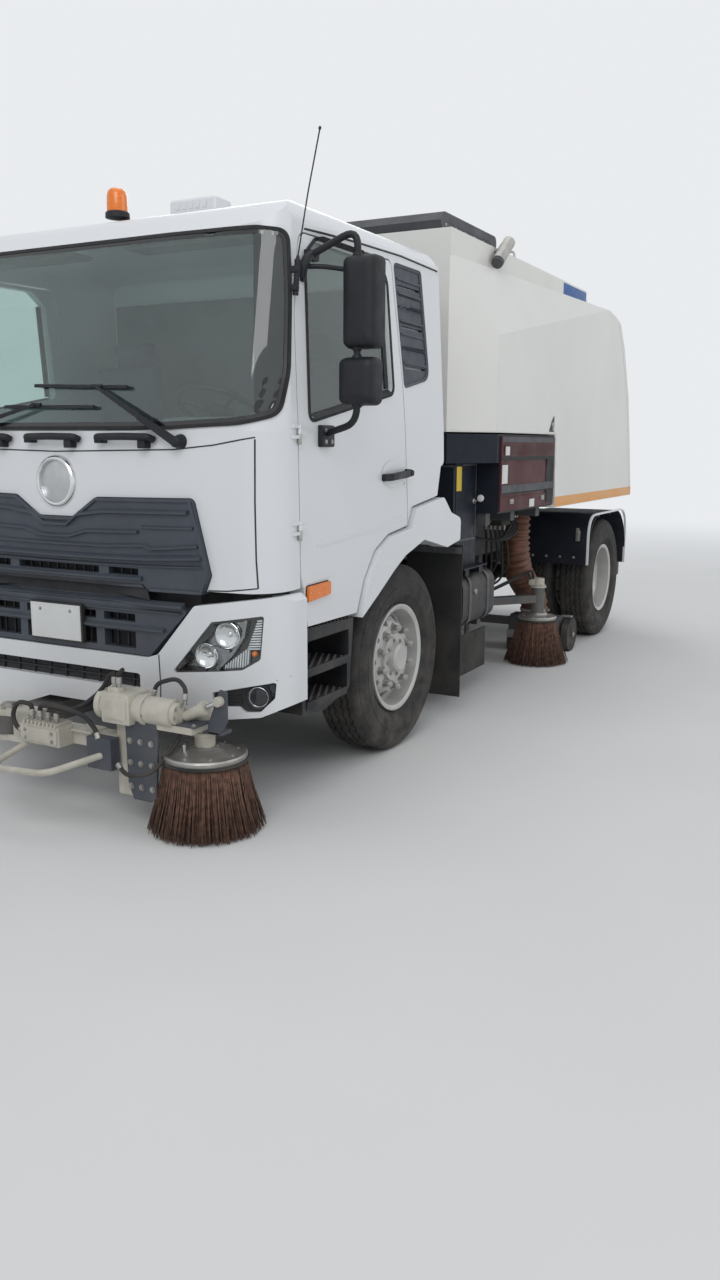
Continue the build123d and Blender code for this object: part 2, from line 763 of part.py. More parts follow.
with BuildPart() as door:
    add(cab_skin)
    add(cab_cavity, mode=Mode.SUBTRACT)
    side_cut(door_line, 0, 1125, 1300, Mode.INTERSECT)
    side_cut(window_line, 0, 1000, 1300)
    # hinge leaves round the pins
    hx, hy = door_hinge
    for z in door_hinge_heights:
        block((1196, 1214), (-1150, -1110), (z + 16, z + 44))
        block((1202, 1214), (hy, -1145), (z + 16, z + 44))
        rod((hx, hy, z + 16), (hx, hy, z + 44), 9)
        rod((hx, hy, z + 15), (hx, hy, z + 45), door_pin_radius + running_gap, Mode.SUBTRACT)
keep_pair(door, "door")

with BuildPart() as door_glass:
    add(cab_form(glass_inset))
    add(cab_form(glass_inset + glass_thickness), mode=Mode.SUBTRACT)
    side_cut(window_line, -0.3, 1100, 1300, Mode.INTERSECT)
keep_pair(door_glass, "door_glass")

with BuildPart() as quarter_louvres:
    add(cab_form(6))
    add(cab_form(28 - seat_gap), mode=Mode.SUBTRACT)
    side_cut(louvre_line, -3, 1050, 1300, Mode.INTERSECT)
    for row in range(5):
        z = 2090 + 100 * row
        drop = (2598 - z) / 600
        block((1050, 1300), (-160 + 106 * drop, 105 + 94 * drop), (z, z + 12), Mode.SUBTRACT)
    mirror(about=Plane.YZ)
keep(quarter_louvres, "quarter_louvres")

# Grille: a moulded panel with slots over the radiator, a backing plate and the lower grille
lower_grille_line = mirrored([(545, 728, 10), (782, 965, 15)])
with BuildPart() as grille:
    front_cut(grille_outline, 0, -1420, -1362, Mode.ADD)
    front_cut(lower_grille_line, 0, -1418, -1368, Mode.ADD)
    block((-500, 500), (-1376, -1352), (930, 1070))
    for x0, x1 in ((-495, -318), (-258, 258), (318, 495)):
        block((x0, x1), (-1500, -1300), (1098, 1132), Mode.SUBTRACT)
    for x0, x1 in ((-465, -275), (-225, 225), (275, 465)):
        block((x0, x1), (-1500, -1300), (880, 918), Mode.SUBTRACT)
        block((x0, x1), (-1500, -1300), (755, 835), Mode.SUBTRACT)
keep(grille, "grille")

# Bumper: a bowed beam that wraps round the corners, with lamp, fog lamp and step openings
bumper_plan = mirrored([(950, -1428, 500), (1245, -1345, 140), (1245, -1165)])
bumper_face = mirrored(
    [(860, 467, 60), (1130, 500, 60), (1260, 560, 30), (1260, 1005, 20), (1215, 1045, 30), (815, 985, 30), (600, 742, 40),
     (536, 722, 20)]
)
headlamp_line = [(677, 665, 10), (906, 920, 25), (1151, 960, 10), (1133, 764, 25), (1051, 712, 25)]
fog_line = [(905, 600, 8), (1196, 664, 10), (1190, 590, 20), (1130, 525, 30), (1057, 520, 30), (1030, 545, 20), (905, 535, 8)]
slot_line = mirrored([(490, 565, 15), (490, 640, 15)])


def bumper_band(inset, depth):
    """The bumper's bowed wall between two depths behind its face."""
    with BuildPart(mode=Mode.PRIVATE) as band:
        extrude(Plane.XY.offset(440) * grown(bumper_plan, -inset), amount=640)
        for shift in (0, 2 * depth):
            extrude(Plane.XY.offset(430) * (Pos(0, shift) * grown(bumper_plan, -depth)), amount=660, mode=Mode.SUBTRACT)
    return band.part


with BuildPart() as bumper:
    add(bumper_band(0, 55))
    front_cut(bumper_face, 0, -1600, -1000, Mode.INTERSECT)
    for side in (-1, 1):
        for line in (headlamp_line, fog_line):
            front_cut([(side * u, v, r) for u, v, r in line], 0, -1600, -1190)
    front_cut(slot_line, 0, -1600, -1190)
keep(bumper, "bumper")

with BuildPart() as headlamps:
    add(bumper_band(8, 48))
    front_cut(headlamp_line, -0.3, -1600, -1190, Mode.INTERSECT)
    mirror(about=Plane.YZ)

with BuildPart() as fog_lamps:
    add(bumper_band(14, 48))
    front_cut(fog_line, -0.3, -1600, -1190, Mode.INTERSECT)
    mirror(about=Plane.YZ)

with BuildPart() as lamps:
    add(headlamps.part)
    add(fog_lamps.part)
keep(lamps, "headlamps")

# Steps below the doors, with two treads, on arms from the rails
with BuildPart() as cab_steps:
    across([(-1130, 865), (-640, 850), (-680, 500, 30), (-930, 442, 60), (-1130, 460)], 900, 1196)
    block((990, 1300), (-1100, -705), (505, 630), Mode.SUBTRACT)
    block((960, 1300), (-1100, -690), (665, 800), Mode.SUBTRACT)
    block((rail_outer, 910), (-1060, -990), (790, 850))
    mirror(about=Plane.YZ)
keep(cab_steps, "cab_steps")

# Wheel arches: the white moulding and the liner over the front wheels
arch_low = [(-598, 846), (-423, 942), (-238, 1049), (-109, 1112), (131, 1178), (456, 1108)]
liner_low = [(-598, 846), (-485, 950), (-330, 1060), (-150, 1130), (131, 1180), (456, 1115)]
arch_face = 1226
with BuildPart() as wheel_arches:
    across(
        arch_low + [(645, 1137, 15), (650, 1267, 40), (504, 1307, 40), (392, 1402, 40), (22, 1357), (-33, 1255),
                    (-270, 1228, 100), (-419, 1158, 80), (-533, 1020, 60)],
        1128,
        arch_face,
    )
    across(liner_low + [(y, z + 12) for y, z in reversed(liner_low)], 560, 1130)
    block((rail_outer, 580), (-480, -440), (950, 985))
    block((rail_outer, 590), (395, 435), (rail_top - 30, rail_top))
    block((565, 590), (395, 435), (rail_top - 30, 1130))
    mirror(about=Plane.YZ)
keep(wheel_arches, "wheel_arches")

# Rubber flaps behind the front wheels and the low side skirt
flap_y = 690
with BuildPart() as mudflaps:
    block((850, 1225), (flap_y, flap_y + 8), (150, 1100))
    block((rail_outer, 900), (flap_y + 8, flap_y + 48), (880, 920))
    mirror(about=Plane.YZ)
    for side, y0, y1 in tank_table:
        x0, x1 = sorted((side * 1000, side * 1010))
        block((x0, x1), (y0 + 50, 1670), (150, 430))
        for y in (y0 + 90, y1 - 150):
            block((x0, x1), (y, y + 60), (430, tank_bottom - 35))
keep(mudflaps, "mudflaps")

# Cab inside: seats, dashboard, steering wheel and column
floor_top = cab_floor_z + cab_floor_thickness
seat_x = 600
with BuildPart() as wheel_form:
    Torus(215, 16)
    Cylinder(60, 24)
    for turn in (30, 150, 270):
        with Locations(Location((0, 0, 0), (0, 0, turn))):
            Box(220, 26, 12, align=(Align.MIN, Align.CENTER, Align.CENTER))

with BuildPart() as cab_interior:
    across([(-1345, 1420), (-1345, 1740, 30), (-1120, 1790, 60), (-1000, 1700, 60), (-1060, 1420, 40)], -1120, 1120)
    rod((seat_x, -1060, 1560), (seat_x, -896, 1847), 28)
    add(wheel_form.part.moved(Plane(origin=(seat_x, -893, 1852), z_dir=(0, 160, 280)).location))
    for x in (seat_x, -seat_x):
        block((x - 200, x + 200), (-520, -120), (floor_top, floor_top + 260))
        across(
            [(-620, floor_top + 260, 40), (-100, floor_top + 260, 20), (-60, floor_top + 900, 40), (-170, floor_top + 900, 40),
             (-230, floor_top + 400, 40), (-620, floor_top + 390, 40)],
            x - 240,
            x + 240,
        )
    add(cab_cavity, mode=Mode.INTERSECT)
keep(cab_interior, "cab_interior")

# Mirrors on the doors: two heads on one bent tube
mirror_stem_x = 1405
# columns: foot, head, inner side, outer side
mirror_table = ((1865, 2070, 1325, 1505), (2105, 2490, 1345, 1515))
with BuildPart() as mirrors:
    for z0, z1, x0, x1 in mirror_table:
        across([(-1055, z0, 45), (-945, z0, 20), (-945, z1, 20), (-1055, z1, 45)], x0, x1)
    with BuildLine() as stem:
        FilletPolyline(
            (1150, -1050, 2480), (mirror_stem_x, -1000, 2600), (mirror_stem_x, -1000, 1790), (1170, -930, 1735), radius=60
        )
    with BuildSketch(Plane(origin=stem.line @ 0, z_dir=stem.line % 0)):
        Circle(16)
    sweep()
    block((1170, 1225), (-985, -880), (1685, 1780))
    add(cab_skin, mode=Mode.SUBTRACT)
keep_pair(mirrors, "mirrors")

# Roof beacon, hatch and aerial; grab handles and wiper pivots below the windscreen
with BuildPart() as cab_fittings:
    rod((0, -900, cab_top - 40), (0, -900, 2930), 55)
    across([(-860, cab_top - 40), (-700, cab_top - 40), (-720, 2838, 20), (-860, 2847, 20)], 290, 560)
    block((1150, 1205), (-1192, -1168), (2336, 2362))
    block((1150, 1205), (-1192, -1168), (2410, 2436))
    rod((1203, -1173, 2330), (1208, -1168, 2450), 11)
    rod((1206, -1168, 2400), (1278, -1100, 2985), 4)
    for x in (-440, 0, 440):
        block((x - 160, x + 160), (-1440, -1375), (1712, 1736))
    for x in (-740, 735):
        rod((x, -1440, 1700), (x, -1360, 1700), 22)
    add(cab_skin, mode=Mode.SUBTRACT)
keep(cab_fittings, "cab_fittings")

# Hopper: a long steel tank with bevelled front corners and sides that lean in above a rising crease
tail_end = wheelbase + 704
tail_line = [
    (wheelbase - 130, hopper_roof - 30), (wheelbase + 40, hopper_roof - 74), (wheelbase + 210, hopper_roof - 267),
    (wheelbase + 445, 2125), (wheelbase + 590, 1690), (tail_end, 1304),
]
hopper_side = [(hopper_front_y, hopper_high_floor), (hopper_front_y, hopper_roof), (deck_rear_y, hopper_roof)] + tail_line + [
    (tail_end, hopper_low_floor), (hopper_step_y + 30, hopper_low_floor), (hopper_step_y - 30, hopper_high_floor)
]
crease_z = hopper_roof - 430
crease_rise = 0.171
crease_lean = 154 / 430


def hopper_form(inset):
    """The hopper's closed form, drawn in by an inset."""
    with BuildPart(mode=Mode.PRIVATE) as form:
        extrude(Plane.YZ.offset(-1300) * grown(hopper_side, -inset), amount=2600)
        extrude(Plane.XY.offset(1000) * grown(hopper_plan(hopper_front_y, tail_end + 236), -inset), amount=2000, mode=Mode.INTERSECT)
        for side in (-1, 1):
            normal = Vector(side, -crease_lean * crease_rise, crease_lean)
            origin = Vector(side * (hopper_half_width - inset * 1.06), hopper_bevel_y, crease_z)
            split(bisect_by=Plane(origin=origin, z_dir=normal), keep=Keep.BOTTOM)
    return form.part


def tail_zone(grow):
    """What lies behind the door's inner face, moved forward by an amount."""
    shifted = [(y - grow, z - 0.3 * grow) for y, z in tail_line]
    top_y = tail_hinge[0] + tail_thickness - grow
    below = hopper_low_floor + 30
    above = hopper_roof + 400
    far = tail_end + 436
    return [(top_y, above), (top_y, shifted[0][1])] + shifted[1:] + [(tail_end - grow, below), (far, below), (far, above)]


lug_x = (rail_outer - 53, rail_outer - 35)
tail_lug_x = 700
with BuildPart() as hopper:
    add(hopper_form(0))
    add(hopper_form(hopper_wall), mode=Mode.SUBTRACT)
    across(tail_zone(tail_thickness + tail_gap), -1400, 1400, Mode.SUBTRACT)
    across([(hopper_front_y, hopper_roof - 5), (hopper_front_y, deck_top), (deck_rear_y - 140, deck_top, 60),
            (deck_rear_y, hopper_roof - 5)],
           -deck_half_width, deck_half_width)
    deck_inner = deck_half_width - hopper_wall
    block((-deck_inner, deck_inner), (hopper_front_y + hopper_wall, deck_rear_y - 200), (hopper_roof - 100, deck_top - hopper_wall),
          Mode.SUBTRACT)
    for side in (-1, 1):
        # hinge lugs on the subframe's pins
        x0, x1 = sorted((side * lug_x[0], side * lug_x[1]))
        across(
            [
                (hinge_y - 60, hopper_low_floor + 5), (hinge_y - hinge_lug_radius, hinge_z - hinge_lug_radius, 29),
                (hinge_y + hinge_lug_radius, hinge_z - hinge_lug_radius, 29), (hinge_y + 60, hopper_low_floor + 5),
            ],
            x0,
            x1,
        )
        rod((x0, hinge_y, hinge_z), (x1, hinge_y, hinge_z), hinge_pin_radius + running_gap, Mode.SUBTRACT)
        # plates beside the rams' eyes
        for inner, outer in ((-ram_lug_outer, -ram_lug_inner), (ram_lug_inner, ram_lug_outer)):
            across(
                [
                    (ram_eye[0] - 55, hopper_low_floor + 5), (ram_eye[0] - 42, ram_eye[1] - 30, 25),
                    (ram_eye[0] + 38, ram_eye[1] - 30, 25), (ram_eye[0] + 50, hopper_low_floor + 5),
                ],
                side * ram_x + inner,
                side * ram_x + outer,
            )
        # the tail door's hinge plates with their pin
        for inner, outer in ((-34, -22), (22, 34)):
            across(
                [(tail_hinge[0] - 160, hopper_roof - 45), (tail_hinge[0] - 140, hopper_roof + 10), (tail_hinge[0] - 25, tail_hinge[1] + 25, 24),
                 (tail_hinge[0] + 25, tail_hinge[1] + 25, 24), (tail_hinge[0] + 25, tail_hinge[1] - 25, 24),
                 (tail_hinge[0] - 60, hopper_roof - 45)],
                side * tail_lug_x + inner,
                side * tail_lug_x + outer,
            )
        rod((side * tail_lug_x - 34, *tail_hinge), (side * tail_lug_x + 34, *tail_hinge), 12)
keep(hopper, "hopper")

with BuildPart() as tail_dish:
    add(hopper_form(35))
    block((-1190, 1190), (wheelbase - 1060, tail_end + 236), (1330, hopper_roof - 160), Mode.INTERSECT)

with BuildPart() as tail_door:
    add(hopper_form(0))
    across(tail_zone(tail_thickness), -1400, 1400, Mode.INTERSECT)
    add(tail_dish.part, mode=Mode.SUBTRACT)
    for side in (-1, 1):
        across(
            [(tail_hinge[0] - 20, tail_hinge[1] - 20, 19), (tail_hinge[0] - 20, tail_hinge[1] + 20, 19),
             (tail_hinge[0] + 20, tail_hinge[1] + 20, 19), (tail_hinge[0] + 110, hopper_roof - 80),
             (tail_hinge[0] + 40, hopper_roof - 75)],
            side * tail_lug_x - 20,
            side * tail_lug_x + 20,
        )
        x0, x1 = side * tail_lug_x - 20, side * tail_lug_x + 20
        rod((x0, *tail_hinge), (x1, *tail_hinge), 12 + running_gap, Mode.SUBTRACT)
keep(tail_door, "tail_door")

# Roof box across the deck, and the exhaust pipe on the deck's side
with BuildPart() as roof_box:
    box_top = deck_top + 105
    across([(800, deck_top), (770, deck_top + 50), (820, box_top, 30), (1690, box_top, 40), (1690, deck_top)],
           75 - deck_half_width, deck_half_width - 75)
    pipe_x = deck_half_width + 50
    rod((pipe_x, 1385, deck_top - 115), (pipe_x, 1580, deck_top + 35), 37.5)
    block((deck_half_width, pipe_x - 15), (1460, 1510), (deck_top - 60, deck_top - 25))
keep(roof_box, "roof_box")

# Tipping rams: barrels pinned on the chassis, rods up to the plates below the hopper's floor
ram_angle = atan2(ram_eye[1] - ram_foot[1], ram_eye[0] - ram_foot[0])
ram_length = hypot(ram_eye[0] - ram_foot[0], ram_eye[1] - ram_foot[1])


def ram_point(distance):
    """A point along the ram's centre line, as (y, z)."""
    return (ram_foot[0] + distance * cos(ram_angle), ram_foot[1] + distance * sin(ram_angle))


with BuildPart() as tip_barrels:
    for side in (-1, 1):
        x = side * ram_x
        rod((x, *ram_point(78)), (x, *ram_point(ram_length - 62)), ram_radius)
        rod((x, *ram_point(110)), (x, *ram_point(ram_length)), ram_rod_radius + running_gap, Mode.SUBTRACT)
        rod((x, *ram_point(0)), (x, *ram_point(90)), 36)
        rod((x - 40, *ram_foot), (x + 40, *ram_foot), 34)
        rod((x - 50, *ram_foot), (x + 50, *ram_foot), ram_pin_radius + running_gap, Mode.SUBTRACT)
keep(tip_barrels, "tip_barrels")

with BuildPart() as tip_rods:
    for side in (-1, 1):
        x = side * ram_x
        rod((x, *ram_point(112)), (x, *ram_point(ram_length)), ram_rod_radius)
        rod((x - 38, *ram_eye), (x + 38, *ram_eye), 46)
keep(tip_rods, "tip_rods")

# Front boom: a turret that swings on the tongue, the boom with the brush's motor head, and the brush
with BuildPart() as boom_turret:
    px, py = boom_pivot
    for z0, z1 in ((300, 330 - seat_gap), (420 + seat_gap, 450)):
        rod((px, py, z0), (px, py, z1), 75)
        block((px, boom_hinge_x + 40), (py - 60, py + 60), (z0, z1))
    rod((px, py, 300), (px, py, 450), 25)
    block((px + 88, px + 100), (py - 60, py + 60), (300, 450))
    for y0, y1 in ((py - 60, py - 46), (py + 46, py + 60)):
        block((px + 88, boom_hinge_x + 40), (y0, y1), (300, 450))
    rod((boom_hinge_x + 10, py - 60, boom_z), (boom_hinge_x + 10, py + 60, boom_z), 15)
keep(boom_turret, "boom_turret")

boom_end_x = 560
with BuildPart() as front_boom:
    bx = boom_hinge_x + 10
    cx, cy = brush_centre
    py = boom_pivot[1]
    block((bx, boom_end_x), (py - 40, py + 40), (340, 410))
    rod((bx, py - 40, boom_z), (bx, py + 40, boom_z), 35)
    rod((bx, py - 45, boom_z), (bx, py + 45, boom_z), 15 + running_gap, Mode.SUBTRACT)
    across([(py - 20, 130, 15), (py + 20, 130, 15), (py + 20, 500), (py - 20, 500)], boom_end_x - 15, boom_end_x + 130)
    # the valve box, the motor box and the tube that guards them
    block((60, 300), (py - 130, py - 40), (340, 430))
    block((440, 560), (py - 90, py - 40), (270, 400))
    guard_y = 15 - front_reach
    with BuildLine() as guard:
        FilletPolyline((80, py - 100, 330), (80, guard_y, 280), (420, guard_y, 300), (520, py - 60, 330), radius=80)
    with BuildSketch(Plane(origin=guard.line @ 0, z_dir=guard.line % 0)):
        Circle(15)
    sweep()
    # the brush's head: a plate, the tilt motor above the post and the spindle motor above the brush
    block((600, cx + 45), (py - 30, cy + 30), (470, 500))
    rod((boom_end_x - 90, py, 545), (cx - 60, py, 545), 62)
    rod((cx, cy, brush_disc_z + 30), (cx, cy, 520), 46)
keep(front_boom, "front_boom")


def brush(centre, disc_z, disc_radius, foot_radius, hub_top):
    """A cup brush: a shallow cone disc over a flared skirt of bristles."""
    with BuildSketch(Plane(origin=(*centre, 0), x_dir=(1, 0, 0), z_dir=(0, -1, 0))) as section:
        with BuildLine():
            Polyline(
                (0, disc_z - 30), (disc_radius * 0.7, disc_z - 34), (foot_radius * 0.72, brush_clear), (foot_radius, brush_clear),
                (disc_radius * 1.02, disc_z - 22), (disc_radius, disc_z), (60, hub_top), (0, hub_top), close=True,
            )
        make_face()
    revolve(section.sketch, axis=Axis((*centre, 0), (0, 0, 1)))


with BuildPart() as front_brush:
    brush(brush_centre, brush_disc_z, brush_disc_radius, brush_foot_radius, brush_disc_z + 30 - seat_gap)
keep(front_brush, "front_brush")

# Side brushes, each on an arm that swings on a bracket below the rail
arm_low = 480
arm_high = 540
with BuildPart() as side_brush_arm:
    px, py = side_brush_pivot
    cx, cy = side_brush_centre
    reach = hypot(cx - px, cy - py)
    side_x = -(cy - py) / reach * 35
    side_y = (cx - px) / reach * 35
    upright([(px + side_x, py + side_y), (cx + side_x, cy + side_y), (cx - side_x, cy - side_y), (px - side_x, py - side_y)],
            arm_low, arm_high)
    rod((px, py, arm_low), (px, py, arm_high), 55)
    rod((cx, cy, side_brush_disc_z + 30), (cx, cy, arm_high + 60), 50)
    rod((px, py, arm_low - 5), (px, py, arm_high + 5), 22 + running_gap, Mode.SUBTRACT)
keep_pair(side_brush_arm, "side_brush_arm")

with BuildPart() as side_brush:
    brush(side_brush_centre, side_brush_disc_z, side_brush_disc_radius, side_brush_foot_radius,
          side_brush_disc_z + 30 - seat_gap)
keep_pair(side_brush, "side_brush")

# Suction nozzles with their hoses, wheels and the side brushes' brackets
nozzle_top = 300
with BuildPart() as suction_nozzles:
    across([(nozzle_y - 150, 40), (nozzle_y + 150, 40), (nozzle_y + 150, 180, 30), (nozzle_y + 50, nozzle_top, 30),
            (nozzle_y - 110, nozzle_top, 30), (nozzle_y - 150, 180)], 720, 1130)
    block((760, 1090), (nozzle_y - 120, nozzle_y + 120), (20, 120), Mode.SUBTRACT)
    rod((1120, nozzle_wheel_y, nozzle_wheel_radius + 2), (1215, nozzle_wheel_y, nozzle_wheel_radius + 2), 12)
    block((rail_outer - 80, rail_outer - 20), (nozzle_y - 70, nozzle_y + 10), (240, rail_bottom))
    block((rail_outer - 80, 760), (nozzle_y - 70, nozzle_y + 10), (200, 260))
    # the side brush's bracket and pivot pin
    px, py = side_brush_pivot
    block((rail_outer - 80, rail_outer), (py - 60, py + 60), (400, rail_bottom))
    block((rail_outer - 20, px), (py - 60, py + 60), (400, arm_low - seat_gap))
    rod((px, py, 400), (px, py, arm_low - seat_gap), 60)
    rod((px, py, 400), (px, py, arm_high + 30), 22)
    mirror(about=Plane.YZ)
keep(suction_nozzles, "suction_nozzles")

with BuildPart() as suction_hoses:
    hx, hy = hose_top
    with BuildLine() as route:
        FilletPolyline(
            (hx, hy, hopper_low_floor - 8), (hx, hy, 760), (hx, nozzle_y - 30, nozzle_top + 120), (hx, nozzle_y - 30, nozzle_top),
            radius=200,
        )
    with BuildSketch(Plane(origin=route.line @ 0, z_dir=route.line % 0)):
        Circle(hose_radius)
    sweep()
    mirror(about=Plane.YZ)
keep(suction_hoses, "suction_hoses")

with BuildPart() as nozzle_wheel:
    rod((1150, nozzle_wheel_y, nozzle_wheel_radius + 2), (1205, nozzle_wheel_y, nozzle_wheel_radius + 2), nozzle_wheel_radius)
    rod((1100, nozzle_wheel_y, nozzle_wheel_radius + 2), (1230, nozzle_wheel_y, nozzle_wheel_radius + 2),
        12 + running_gap, Mode.SUBTRACT)
keep_pair(nozzle_wheel, "nozzle_wheel")
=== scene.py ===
"""A street sweeper truck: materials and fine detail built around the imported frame, in metres.

Stations along Y are written from the front axle, rearward positive, as in the part's source, and moved by AXLE_Y.
"""
import json
import math
import random

import bmesh
import bpy
from mathutils import Matrix, Vector
from mathutils.bvhtree import BVHTree

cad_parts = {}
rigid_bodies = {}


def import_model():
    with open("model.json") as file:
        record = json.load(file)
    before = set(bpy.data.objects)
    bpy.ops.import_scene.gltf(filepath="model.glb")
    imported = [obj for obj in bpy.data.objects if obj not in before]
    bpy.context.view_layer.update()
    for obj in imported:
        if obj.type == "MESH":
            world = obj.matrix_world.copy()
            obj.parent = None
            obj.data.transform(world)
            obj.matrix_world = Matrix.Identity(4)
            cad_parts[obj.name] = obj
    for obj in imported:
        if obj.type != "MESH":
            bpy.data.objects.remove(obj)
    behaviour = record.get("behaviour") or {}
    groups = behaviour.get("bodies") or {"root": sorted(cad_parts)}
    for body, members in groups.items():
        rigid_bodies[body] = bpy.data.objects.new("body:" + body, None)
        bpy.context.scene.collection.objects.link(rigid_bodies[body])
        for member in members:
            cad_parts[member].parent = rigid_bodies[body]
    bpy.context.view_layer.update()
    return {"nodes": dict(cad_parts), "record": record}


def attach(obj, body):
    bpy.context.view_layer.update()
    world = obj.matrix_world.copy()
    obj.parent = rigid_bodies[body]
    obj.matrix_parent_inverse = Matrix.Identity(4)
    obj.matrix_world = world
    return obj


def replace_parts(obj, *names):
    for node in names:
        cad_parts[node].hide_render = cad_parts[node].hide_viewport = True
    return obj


# The frame, the camera and the studio. The camera stands ahead and to the left of the cab at eye height,
# as fitted to the tyres and the cab's corners in the photograph, and the light is a pale overcast sky.
for leftover in list(bpy.data.objects):
    bpy.data.objects.remove(leftover)
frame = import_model()
nodes = frame["nodes"]
AXLE_Y = -1.45
scene = bpy.context.scene
scene.view_settings.view_transform = "Standard"

CAMERA_AT = (3.5626, -4.9877 + AXLE_Y, 1.6992)
YAW, PITCH, ROLL = math.radians(28.1758), math.radians(-11.0189), math.radians(0.3282)
forward = Vector((-math.sin(YAW) * math.cos(PITCH), math.cos(YAW) * math.cos(PITCH), math.sin(PITCH)))
level = forward.cross(Vector((0, 0, 1))).normalized()
upward = level.cross(forward)
right = level * math.cos(ROLL) + upward * math.sin(ROLL)
above = upward * math.cos(ROLL) - level * math.sin(ROLL)
camera = bpy.data.objects.new("camera", bpy.data.cameras.new("camera"))
camera.data.lens = 28.317
camera.data.sensor_width = 36
camera.data.clip_end = 2000
camera.matrix_world = Matrix.Translation(CAMERA_AT) @ Matrix((right, above, -forward)).transposed().to_4x4()
scene.collection.objects.link(camera)
scene.camera = camera


def add_node(tree, kind, inputs=(), **settings):
    """A shader node of a kind with its settings; each input is set to a constant or linked to another node's output."""
    made = tree.nodes.new("ShaderNode" + kind)
    for name, value in settings.items():
        setattr(made, name, value)
    for socket, value in dict(inputs).items():
        if isinstance(value, bpy.types.NodeSocket):
            tree.links.new(value, made.inputs[socket])
        elif isinstance(value, tuple):
            made.inputs[socket].default_value = (*value, 1)
        else:
            made.inputs[socket].default_value = value
    return made


SKY_SEEN = (0.86, 0.88, 0.90)
SKY_STRENGTH = 0.95
world = bpy.data.worlds.new("overcast")
scene.world = world
world.use_nodes = True
tree = world.node_tree
tree.nodes.clear()
rays = add_node(tree, "LightPath").outputs
seen = add_node(tree, "Math", {0: rays["Is Camera Ray"], 1: rays["Is Glossy Ray"]}, operation="MAXIMUM")
seen_too = add_node(tree, "Math", {0: seen.outputs[0], 1: rays["Is Transmission Ray"]}, operation="MAXIMUM")
sky_light = add_node(tree, "Background", {"Color": (0.86, 0.92, 1.0), "Strength": 0.50})
sky_seen = add_node(tree, "Background", {"Color": SKY_SEEN, "Strength": SKY_STRENGTH})
blend = add_node(tree, "MixShader", {0: seen_too.outputs[0], 1: sky_light.outputs[0], 2: sky_seen.outputs[0]})
add_node(tree, "OutputWorld", {"Surface": blend.outputs[0]})

for name, place, aim, size, power in (
    ("key", (4.5, -11.0, 9.0), (0, -1.0, 1.2), 7.0, 450),
    ("top", (0.0, 0.0, 12.0), (0, 0, 1.0), 9.0, 270),
    ("side", (11.0, 2.0, 6.0), (0, 0.5, 1.2), 6.0, 150),
    ("rear", (-6.0, 9.0, 7.0), (0, 1.0, 1.5), 6.0, 220),
):
    light = bpy.data.objects.new(name, bpy.data.lights.new(name, "AREA"))
    light.data.size = size
    light.data.energy = power
    light.location = place
    light.rotation_euler = (Vector(aim) - Vector(place)).to_track_quat("-Z", "Y").to_euler()
    scene.collection.objects.link(light)

DUST_COLOUR = (0.36, 0.31, 0.25)
PANEL_X = 1.2495
looks = {}


def surface(name, colour, rough=0.5, metallic=0.0, coat=0.0, variation=0.05, scale=6.0, grain=0.0, grain_scale=400.0,
            dust=0.0, dust_top=1.2, band=None, specular=0.5):
    """A material: base colour varied by noise, road dust that thickens downwards, uneven gloss and a fine bump."""
    made = looks[name] = bpy.data.materials.new(name)
    made.use_nodes = True
    inner = made.node_tree
    shader = inner.nodes["Principled BSDF"]
    for socket, value in (("Metallic", metallic), ("Coat Weight", coat), ("Coat Roughness", 0.08),
                          ("Specular IOR Level", specular)):
        shader.inputs[socket].default_value = value
    place = add_node(inner, "TexCoord").outputs["Object"]

    def noise(size, detail=5.0):
        return add_node(inner, "TexNoise", {"Scale": size, "Detail": detail, "Vector": place}).outputs["Fac"]

    def spread(value, low, high, start=0.3, end=0.7):
        ends = {"From Min": start, "From Max": end, "To Min": low, "To Max": high}
        return add_node(inner, "MapRange", {"Value": value, **ends}).outputs["Result"]

    def mixed(factor, first, second):
        made_mix = add_node(inner, "Mix", {"Factor": factor}, data_type="RGBA")
        for value, socket in ((first, made_mix.inputs["A"]), (second, made_mix.inputs["B"])):
            if isinstance(value, tuple):
                socket.default_value = (*value, 1)
            else:
                inner.links.new(value, socket)
        return made_mix.outputs["Result"]

    def product(first, second, operation="MULTIPLY"):
        return add_node(inner, "Math", {0: first, 1: second}, operation=operation).outputs[0]

    dark = tuple(c * (1 - 2 * variation) for c in colour)
    pale = tuple(min(1.0, c * (1 + variation)) for c in colour)
    tone = mixed(spread(noise(scale), 0, 1), dark, pale)
    axes = add_node(inner, "SeparateXYZ", {0: place}).outputs
    if band:
        # a painted band: (colour, low z, high z, first y), drawn on the outer side panels only
        between = product(product(axes["Z"], band[1], "GREATER_THAN"), product(axes["Z"], band[2], "LESS_THAN"))
        outer = product(product(axes["X"], 0.0, "ABSOLUTE"), PANEL_X, "GREATER_THAN")
        behind = product(product(axes["Y"], band[3], "GREATER_THAN"), outer)
        tone = mixed(product(between, behind), tone, band[0])
    if dust:
        low_down = spread(axes["Z"], 1, 0.05, 0.0, dust_top)
        patches = spread(noise(scale * 0.7, 8.0), 0.0, 1.0, 0.35, 0.7)
        tone = mixed(product(product(low_down, patches), dust), tone, DUST_COLOUR)
    inner.links.new(tone, shader.inputs["Base Color"])
    inner.links.new(spread(noise(scale * 3), max(0.02, rough - 0.07), min(1.0, rough + 0.1)),
                    shader.inputs["Roughness"])
    if grain:
        bump = add_node(inner, "Bump", {"Strength": grain, "Distance": 0.002, "Height": noise(grain_scale, 3.0)})
        inner.links.new(bump.outputs["Normal"], shader.inputs["Normal"])
    return made


